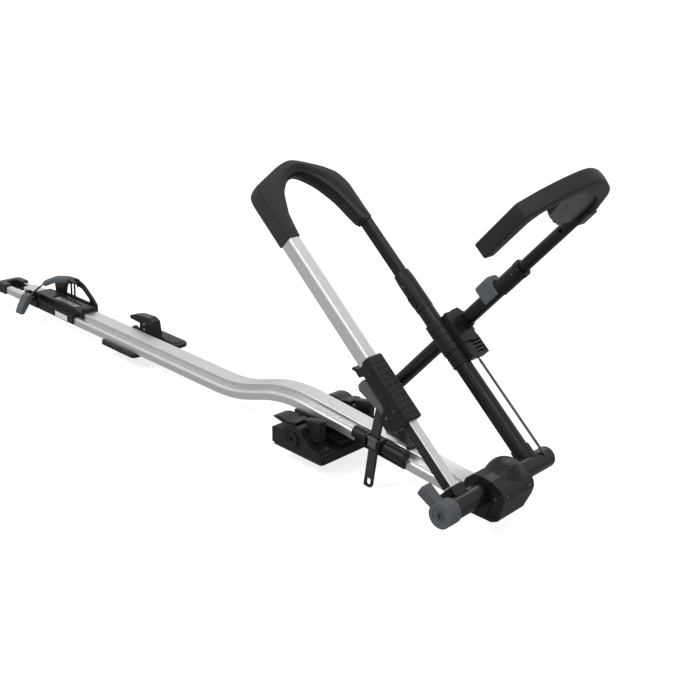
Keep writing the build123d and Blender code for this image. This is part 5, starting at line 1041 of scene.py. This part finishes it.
class CARRIER_OT_studio(Operator):
    """Floor, soft lights, world and camera"""

    bl_idname = "carrier.studio"
    bl_label = "Studio"

    def execute(self, context):
        scene = context.scene
        low = cad_low[2] - 0.0015
        corners = [(x * FLOOR_REACH, y * FLOOR_REACH, low) for x, y in ((-1, -1), (1, -1), (1, 1), (-1, 1))]
        mesh = bpy.data.meshes.new("studio_floor")
        mesh.from_pydata(corners, [], [(0, 1, 2, 3)])
        floor = bpy.data.objects.new("studio_floor", mesh)
        scene.collection.objects.link(floor)
        floor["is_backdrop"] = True
        material = bpy.data.materials.new("studio_floor")
        material.use_nodes = True
        tree = material.node_tree
        tree.nodes.clear()
        out = node(tree, "ShaderNodeOutputMaterial")
        matt = node(tree, "ShaderNodeBsdfDiffuse")
        matt.inputs["Color"].default_value = colours().floor
        glow = node(tree, "ShaderNodeEmission")
        glow.inputs["Color"].default_value = (1.0, 1.0, 1.0, 1.0)
        seen = node(tree, "ShaderNodeLightPath").outputs["Is Camera Ray"]
        feed(tree, maths(tree, "MULTIPLY", seen, FLOOR_GLOW), glow.inputs["Strength"])
        both = node(tree, "ShaderNodeAddShader")
        feed(tree, matt.outputs["BSDF"], both.inputs[0])
        feed(tree, glow.outputs["Emission"], both.inputs[1])
        feed(tree, both.outputs["Shader"], out.inputs["Surface"])
        mesh.materials.append(material)

        world = bpy.data.worlds.new("studio_world")
        world.use_nodes = True
        scene.world = world
        tree = world.node_tree
        tree.nodes.clear()
        out = node(tree, "ShaderNodeOutputWorld")
        path = node(tree, "ShaderNodeLightPath")
        # What the camera, gloss and glass see is white, and what lights the carrier is dimmer
        share = path.outputs["Is Camera Ray"]
        for kind in ("Is Glossy Ray", "Is Transmission Ray"):
            either = node(tree, "ShaderNodeMath", operation="MAXIMUM")
            feed(tree, share, either.inputs[0])
            feed(tree, path.outputs[kind], either.inputs[1])
            share = either.outputs["Value"]
        mix = node(tree, "ShaderNodeMixShader")
        feed(tree, share, mix.inputs["Fac"])
        for socket, strength in ((1, SKY_LIGHT), (2, 1.0)):
            sky = node(tree, "ShaderNodeBackground")
            sky.inputs["Color"].default_value = (1.0, 1.0, 1.0, 1.0)
            sky.inputs["Strength"].default_value = strength
            feed(tree, sky.outputs["Background"], mix.inputs[socket])
        feed(tree, mix.outputs["Shader"], out.inputs["Surface"])

        for name, spot, aim, size, power in (
                ("key_light", (-0.9, -2.0, 2.3), (-0.2, 0.0, 0.2), 1.1, 36.0),
                ("top_light", (1.35, -0.95, 2.6), (0.1, 0.0, 0.3), 1.4, 14.0),
                ("back_light", (-0.65, 2.0, 2.0), (0.0, 0.0, 0.2), 1.1, 6.0)):
            lamp = bpy.data.lights.new(name, "AREA")
            lamp.shape = "DISK"
            lamp.size = size
            lamp.energy = power
            lamp_object = bpy.data.objects.new(name, lamp)
            scene.collection.objects.link(lamp_object)
            lamp_object.matrix_world = look_matrix(spot, np.array(spot) - np.array(aim))

        # The camera that was solved from the photograph
        camera = bpy.data.cameras.new("photo_camera")
        camera.lens = 53.28
        camera.sensor_width = 36.0
        camera.clip_start = 0.05
        camera.clip_end = 200.0
        camera_object = bpy.data.objects.new("photo_camera", camera)
        scene.collection.objects.link(camera_object)
        camera_object.matrix_world = Matrix((
            (0.738299, -0.285116, 0.611248, 1.20928), (0.671974, 0.232990, -0.702970, -1.34937),
            (0.058013, 0.929745, 0.363606, 0.89698), (0.0, 0.0, 0.0, 1.0)))
        scene.camera = camera_object
        scene.view_settings.view_transform = "Standard"
        return {"FINISHED"}


def look_matrix(spot, way):
    """A matrix at a spot whose Z axis points along a way: X is level, Y is what is left."""
    back = unit(way)
    right = unit(np.cross(UPWARD, back))
    up = np.cross(back, right)
    rows = np.eye(4)
    rows[:3, 0], rows[:3, 1], rows[:3, 2], rows[:3, 3] = right, up, back, spot
    return Matrix(rows.tolist())


class CARRIER_PT_panel(Panel):
    """Lists the carrier's pieces and sizes"""

    bl_label = "Roof carrier"
    bl_idname = "CARRIER_PT_panel"
    bl_space_type = "VIEW_3D"
    bl_region_type = "UI"
    bl_category = "Carrier"

    def draw(self, context):
        layout = self.layout
        for step in STEPS:
            layout.operator(step.bl_idname)
        box = layout.box()
        for key in CarrierSizes.__annotations__:
            box.prop(context.scene.carrier_sizes, key)
        box = layout.box()
        for key in CarrierColours.__annotations__:
            box.prop(context.scene.carrier_colours, key)


STEPS = (CARRIER_OT_studio, CARRIER_OT_node_finishes, CARRIER_OT_hoop_cover, CARRIER_OT_hoop_liner,
         CARRIER_OT_hook_pad, CARRIER_OT_hook_web, CARRIER_OT_strap_rungs, CARRIER_OT_rim_pad,
         CARRIER_OT_ratchet_trim, CARRIER_OT_front_levers, CARRIER_OT_clamp_blocks,
         CARRIER_OT_foot_dials, CARRIER_OT_head_dome, CARRIER_OT_rear_shoe, CARRIER_OT_lock_rod)
CLASSES = (CarrierSizes, CarrierColours, *STEPS, CARRIER_PT_panel)


def register():
    """Registers the classes and the scene's settings."""
    for cls in CLASSES:
        bpy.utils.register_class(cls)
    bpy.types.Scene.carrier_sizes = PointerProperty(type=CarrierSizes)
    bpy.types.Scene.carrier_colours = PointerProperty(type=CarrierColours)


def unregister():
    """Takes the settings and the classes out again."""
    del bpy.types.Scene.carrier_colours
    del bpy.types.Scene.carrier_sizes
    for cls in reversed(CLASSES):
        bpy.utils.unregister_class(cls)


def main():
    """Makes every piece in order."""
    register()
    for step in STEPS:
        getattr(bpy.ops.carrier, step.bl_idname.partition(".")[2])()


if __name__ == "__main__":
    main()
